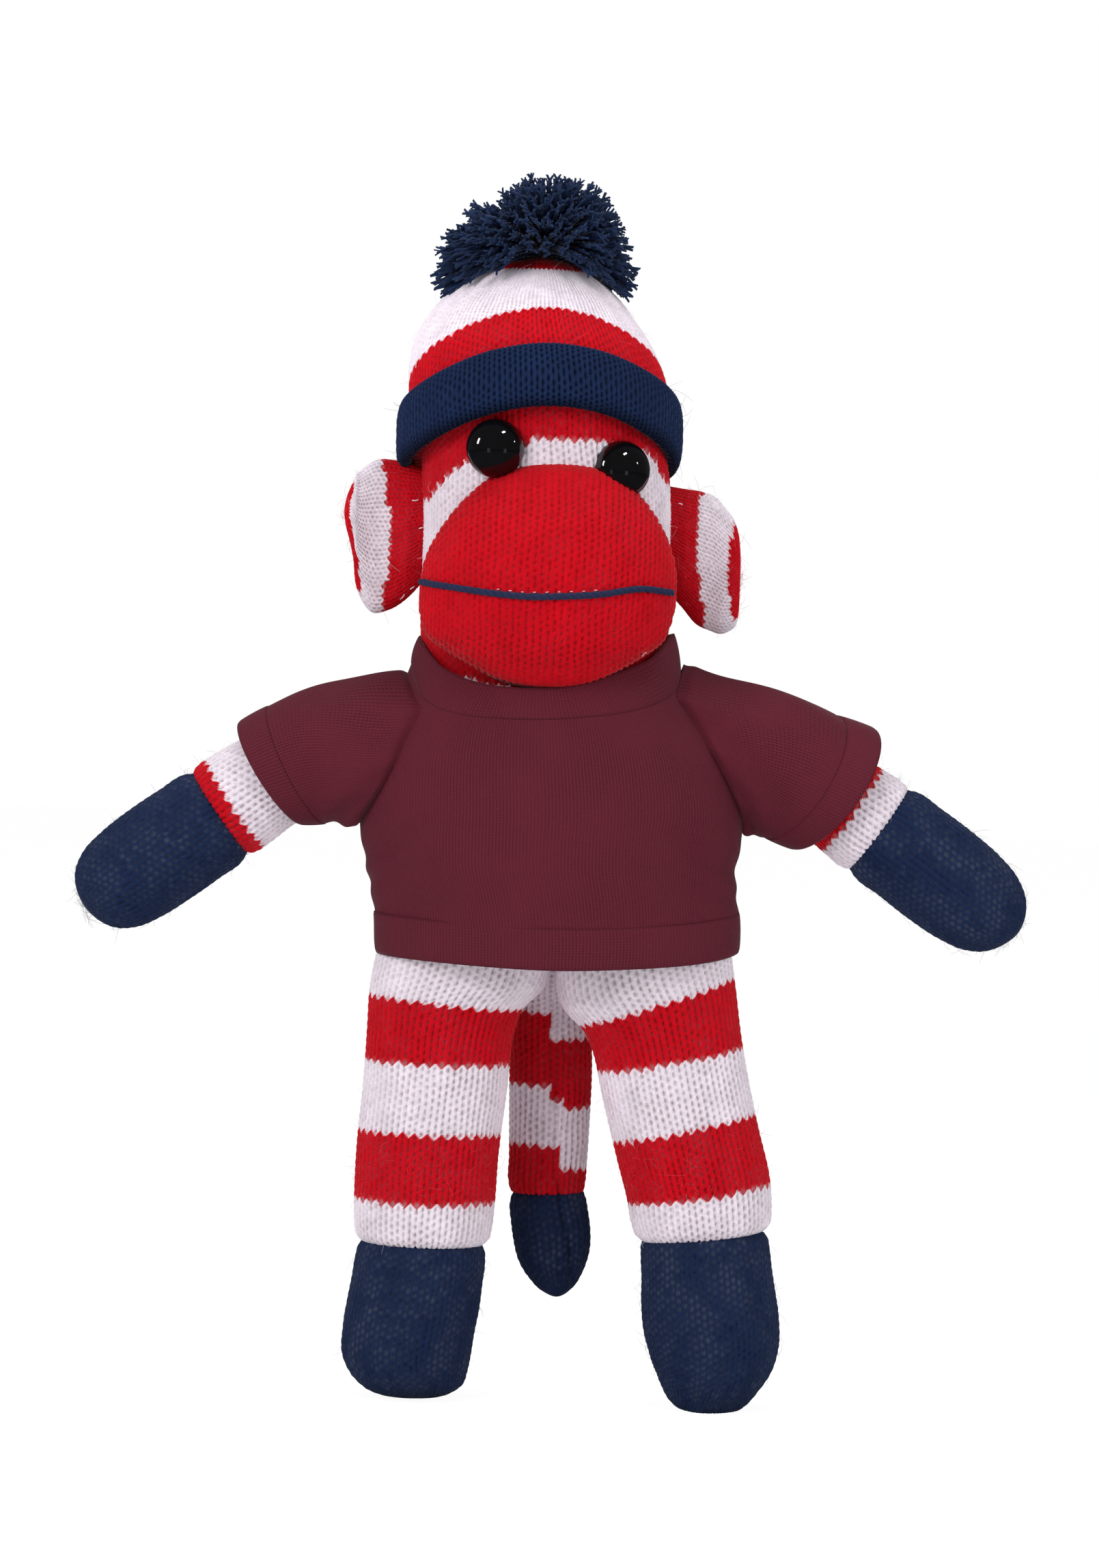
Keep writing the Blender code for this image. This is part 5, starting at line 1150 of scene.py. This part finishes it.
def cuff_ring(side, share, out=0.0):
    """A ring round the arm, at a share of the way from the cuff's seam to its mouth, with the way down the arm."""
    near, far, swing = CUFF[side]
    edge = np.array(near) * (1 - share) + np.array(far) * share
    top, bottom, deep = edge[:2], edge[2:4], edge[4]
    middle = (top + bottom) / 2
    half = (top - bottom) / 2
    radius = np.linalg.norm(half)
    up = half / radius
    aim = np.array((up[1], -up[0])) * SIDES[side]
    angle = np.arange(SLEEVE_COUNT) / SLEEVE_COUNT * TURN
    height = -np.cos(angle) * (radius + out)
    forward = np.sin(angle)
    x, z = [middle[i] + up[i] * height + aim[i] * (swing * forward) for i in (0, 1)]
    return np.stack((x, LIMB_Y - forward * (deep + out), z), -1), np.array((aim[0], 0.0, aim[1]))


def arm_cloth(name, side, surface, thick):
    """A tube of cloth from its rings, with its mean way round and its length."""
    if side == "left":
        surface = surface[:, ::-1]
    length = np.linalg.norm(np.diff(surface, axis=0), axis=2).mean()
    down = np.arange(len(surface)) * length
    around = np.linalg.norm(np.roll(surface, -1, 1) - surface, axis=2).sum(1).mean()
    u = np.arange(SLEEVE_COUNT) / SLEEVE_COUNT * around
    return cloth_grid(name + side, surface, u, down, thick), around, down[-1]


def sleeve(side, sign):
    root = root_ring(side)
    end, aim = cuff_ring(side, 0.0)
    spots = np.arange(SLEEVE_COUNT) / SLEEVE_COUNT
    top = np.exp(-((spots - 0.5) / 0.13) ** 2)
    bottom = np.exp(-(np.minimum(spots, 1 - spots) / 0.10) ** 2)
    lean = np.tile((float(sign), 0.0, 0.0), (SLEEVE_COUNT, 1))
    lean[:, 2] = -0.42 + (SHOULDER_FALL[side] + 0.42) * top + 0.30 * bottom
    lean = unit(lean)
    reach = np.linalg.norm(end - root, axis=1)[:, None]
    t = np.linspace(0, 1, 60)[:, None, None]
    square, cube = t ** 2, t ** 3
    surface = ((2 * cube - 3 * square + 1) * root + (cube - 2 * square + t) * lean * reach
               + (3 * square - 2 * cube) * end + (cube - square) * aim * reach)
    puff = np.sin(math.pi * t[:, 0])
    away = unit(surface - surface.mean(1, keepdims=True))
    wrinkle = 0.35 * np.sin(spots * TURN * 5 + 7 * t[:, 0] + sign) * puff
    surface = surface + away * (0.5 * puff * (1 - top) + wrinkle)[..., None]
    rise = np.clip(t / 0.10, 0, 1)
    surface = surface + away * (-0.35 + 1.05 * rise * rise * (3 - 2 * rise))
    return arm_cloth("sleeve_cloth_", side, surface, CLOTH_THICK)


def cuff(side):
    spots = np.linspace(0, 1, 15)
    outs = 0.32 * np.sin(math.pi * spots) ** 0.35 + 0.72
    surface = np.array([cuff_ring(side, share, out)[0] for share, out in zip(spots, outs)])
    return arm_cloth("cuff_cloth_", side, surface, BAND_THICK)


for side, sign in SIDES.items():
    item, around, tall = sleeve(side, sign)
    finish_piece(item, None, ["sleeve_" + side])
    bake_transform(item)
    cuff_item, cuff_around, cuff_tall = cuff(side)
    finish_piece(cuff_item, "arm_" + side, ["cuff_" + side])


def band(name, low, tall, low_out, where, puff, rows=13):
    """A sewn band round the shirt: its low edge, its height, how far its low edge stands out, and its roundness."""
    share = np.linspace(0, 1, rows)[:, None]
    z = low + tall * share
    out = low_out - low_out * share + puff * np.sin(math.pi * share) ** 0.4
    surface = where(z, np.broadcast_to(SHIRT_ANGLE, z.shape), np.broadcast_to(out, z.shape))
    u, around = girth(surface[rows // 2])
    return cloth_grid(name, surface, u, share[:, 0] * tall.mean(), BAND_THICK), around, float(tall.mean())


def hem_at(z, angle, out):
    return point_on(SHIRT_FINE, z, angle, out)


def collar_at(z, angle, out):
    """A point on the collar, which leaves the shirt's body at its low edge and stands round the neck at its top."""
    low = round_line(COLLAR_LOW, angle)
    up = (z - low) / (round_line(COLLAR_TOP, angle) - low)
    mid, back, _, wide, deep = at_height(SHIRT_FINE, low)
    ease = np.clip(up / 0.9, 0, 1) ** 0.8
    wide = (wide + out) * (1 - ease) + (29.0 + out - 0.9 * up) * ease
    deep = (deep + out) * (1 - ease) + (26.9 + out - 2.6 * up * np.clip(-np.cos(angle), 0, 1)) * ease
    x = mid * (1 - ease) - 3.0 * ease - wide * np.sin(angle)
    y = back * (1 - ease) + 3.3 * ease + deep * np.cos(angle)
    return np.stack((x, y, z), -1)
hem, hem_around, hem_tall = band("shirt_hem_band", round_line(HEM_LOW, SHIRT_ANGLE), HEM_TALL + 0 * SHIRT_ANGLE, -0.1,
                                 hem_at, 0.34)
finish_piece(hem, "torso", ["shirt_hem"])
collar_low, collar_top = round_line(COLLAR_LOW, SHIRT_ANGLE), round_line(COLLAR_TOP, SHIRT_ANGLE)
collar, collar_around, collar_tall = band("shirt_collar_band", collar_low, collar_top - collar_low, 0.05, collar_at,
                                          0.36)
finish_piece(collar, "torso", ["shirt_collar"])


# CAD pieces that still show: the eyes' washers and the neck's stem

lining, tree, shader = new_material("white_knit_lining")
place = add_node(tree, "TexCoord")
ribs = add_node(tree, "TexWave", {"Vector": place.outputs["Object"], "Scale": 220.0, "Distortion": 2.0})
feed(tree, shader, {"Base Color": mix_colours(tree, ribs.outputs["Fac"], WHITE * 0.62, WHITE), "Roughness": 0.93})

for item in bpy.context.scene.objects:
    name = item.get("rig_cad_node")
    if name is None or item.hide_render:
        continue
    item.data.materials.clear()
    is_washer = "washer" in str(item.name) or "washer" in str(name)
    item.data.materials.append(washer if is_washer else lining)


# Floor, light and camera

FLOOR_SHADE = 0.92


def floor_material(name, glow_share):
    """A pale floor that the camera sees as white, apart from the object's shadow, and that gloss shows dark."""
    material, tree, shader = new_material(name)
    sight = add_node(tree, "LightPath").outputs
    dark = (FLOOR_SHADE * 0.07, FLOOR_SHADE * 0.07, FLOOR_SHADE * 0.08)
    feed(tree, shader, {"Base Color": mix_colours(tree, sight["Is Glossy Ray"], (FLOOR_SHADE,) * 3, dark),
                        "Roughness": 0.9, "Specular IOR Level": 0.1})
    glow = add_node(tree, "Emission", {"Strength": 1.1})
    mix = add_node(tree, "MixShader", {"Fac": calc(tree, "MULTIPLY", sight["Is Camera Ray"], glow_share),
                                       1: shader.outputs["BSDF"], 2: glow.outputs["Emission"]})
    feed(tree, tree.nodes["Material Output"], {"Surface": mix.outputs["Shader"]})
    return material


bpy.ops.mesh.primitive_plane_add(size=1.0, location=(0, 0, 0))
floor = bpy.context.object
floor.name = "studio_floor"
floor.scale = (6, 6, 1)
floor.data.materials.append(floor_material("floor_white", 0.85))

world = bpy.context.scene.world or bpy.data.worlds.new("studio_world")
bpy.context.scene.world = world
world.use_nodes = True
tree = world.node_tree
sight = add_node(tree, "LightPath").outputs
level = map_range(tree, sight["Is Camera Ray"], 0.42, 1.0)
dim = map_range(tree, sight["Is Glossy Ray"], 1.0, 0.16)
feed(tree, tree.nodes["Background"], {"Color": (1, 1, 1, 1), "Strength": calc(tree, "MULTIPLY", level, dim)})


def area_light(name, place, aim, size, power):
    data = bpy.data.lights.new(name, "AREA")
    data.shape = "RECTANGLE"
    data.size, data.size_y = size
    data.energy = power
    lamp = bpy.data.objects.new(name, data)
    bpy.context.scene.collection.objects.link(lamp)
    lamp.location = place
    lamp.rotation_mode = "QUATERNION"
    lamp.rotation_quaternion = (Vector(aim) - Vector(place)).to_track_quat("-Z", "Y")
    return lamp


def soft_light(*facts):
    """A lamp that gives light and doesn't show in glossy surfaces."""
    area_light(*facts).visible_glossy = False


def glint(name, heading, size, power, spin=0.0):
    """A small lamp near the eyes that only shows as a bright spot in glossy surfaces."""
    aim = Vector((-0.002, -0.018, 0.208))
    lamp = area_light(name, tuple(aim + Vector(heading).normalized() * 0.8), tuple(aim), size, power)
    lamp.visible_diffuse = False
    lamp.visible_transmission = False
    lamp.rotation_quaternion = lamp.rotation_quaternion @ Quaternion((0, 0, 1), spin)


soft_light("key_left", (-0.62, -0.75, 0.62), (0, 0, 0.14), (0.42, 0.52), 5.3)
soft_light("fill_right", (0.80, -0.60, 0.50), (0, 0, 0.14), (0.35, 0.45), 2.9)
soft_light("top_soft", (0.0, 0.05, 1.05), (0, 0, 0.1), (0.9, 0.7), 4.2)
glint("glint_top", (0.32, -0.38, 0.86), (0.17, 0.08), 3.0, 0.3)
glint("glint_left", (-0.92, -0.25, 0.33), (0.10, 0.22), 2.0)
glint("glint_right", (0.90, -0.20, 0.38), (0.03, 0.06), 0.3)
glint("window_left", (-0.50, -0.85, -0.15), (0.14, 0.22), 0.05)
glint("window_right", (0.50, -0.85, -0.18), (0.15, 0.24), 0.07)

camera_data = bpy.data.cameras.new("photo_camera")
camera = bpy.data.objects.new("photo_camera", camera_data)
bpy.context.scene.collection.objects.link(camera)
camera_data.lens = 115.0
camera_data.sensor_fit = "VERTICAL"
camera_data.sensor_height = camera_data.sensor_width = 36.0
camera_data.clip_start = 0.05
camera_data.clip_end = 20.0
target = Vector((-0.0012, 0.0, 0.1366))
rise = roll = math.radians(2.0)
back = Vector((0.0, -math.cos(rise), math.sin(rise)))
camera.location = target + back * 1.1
up = Vector((-math.sin(roll), 0.0, math.cos(roll)))
right = (-back).cross(up).normalized()
true_up = right.cross(-back).normalized()
turn = Matrix((right, true_up, back)).transposed()
camera.rotation_mode = "QUATERNION"
camera.rotation_quaternion = turn.to_quaternion()
bpy.context.scene.camera = camera
bpy.context.scene.view_settings.view_transform = "Standard"
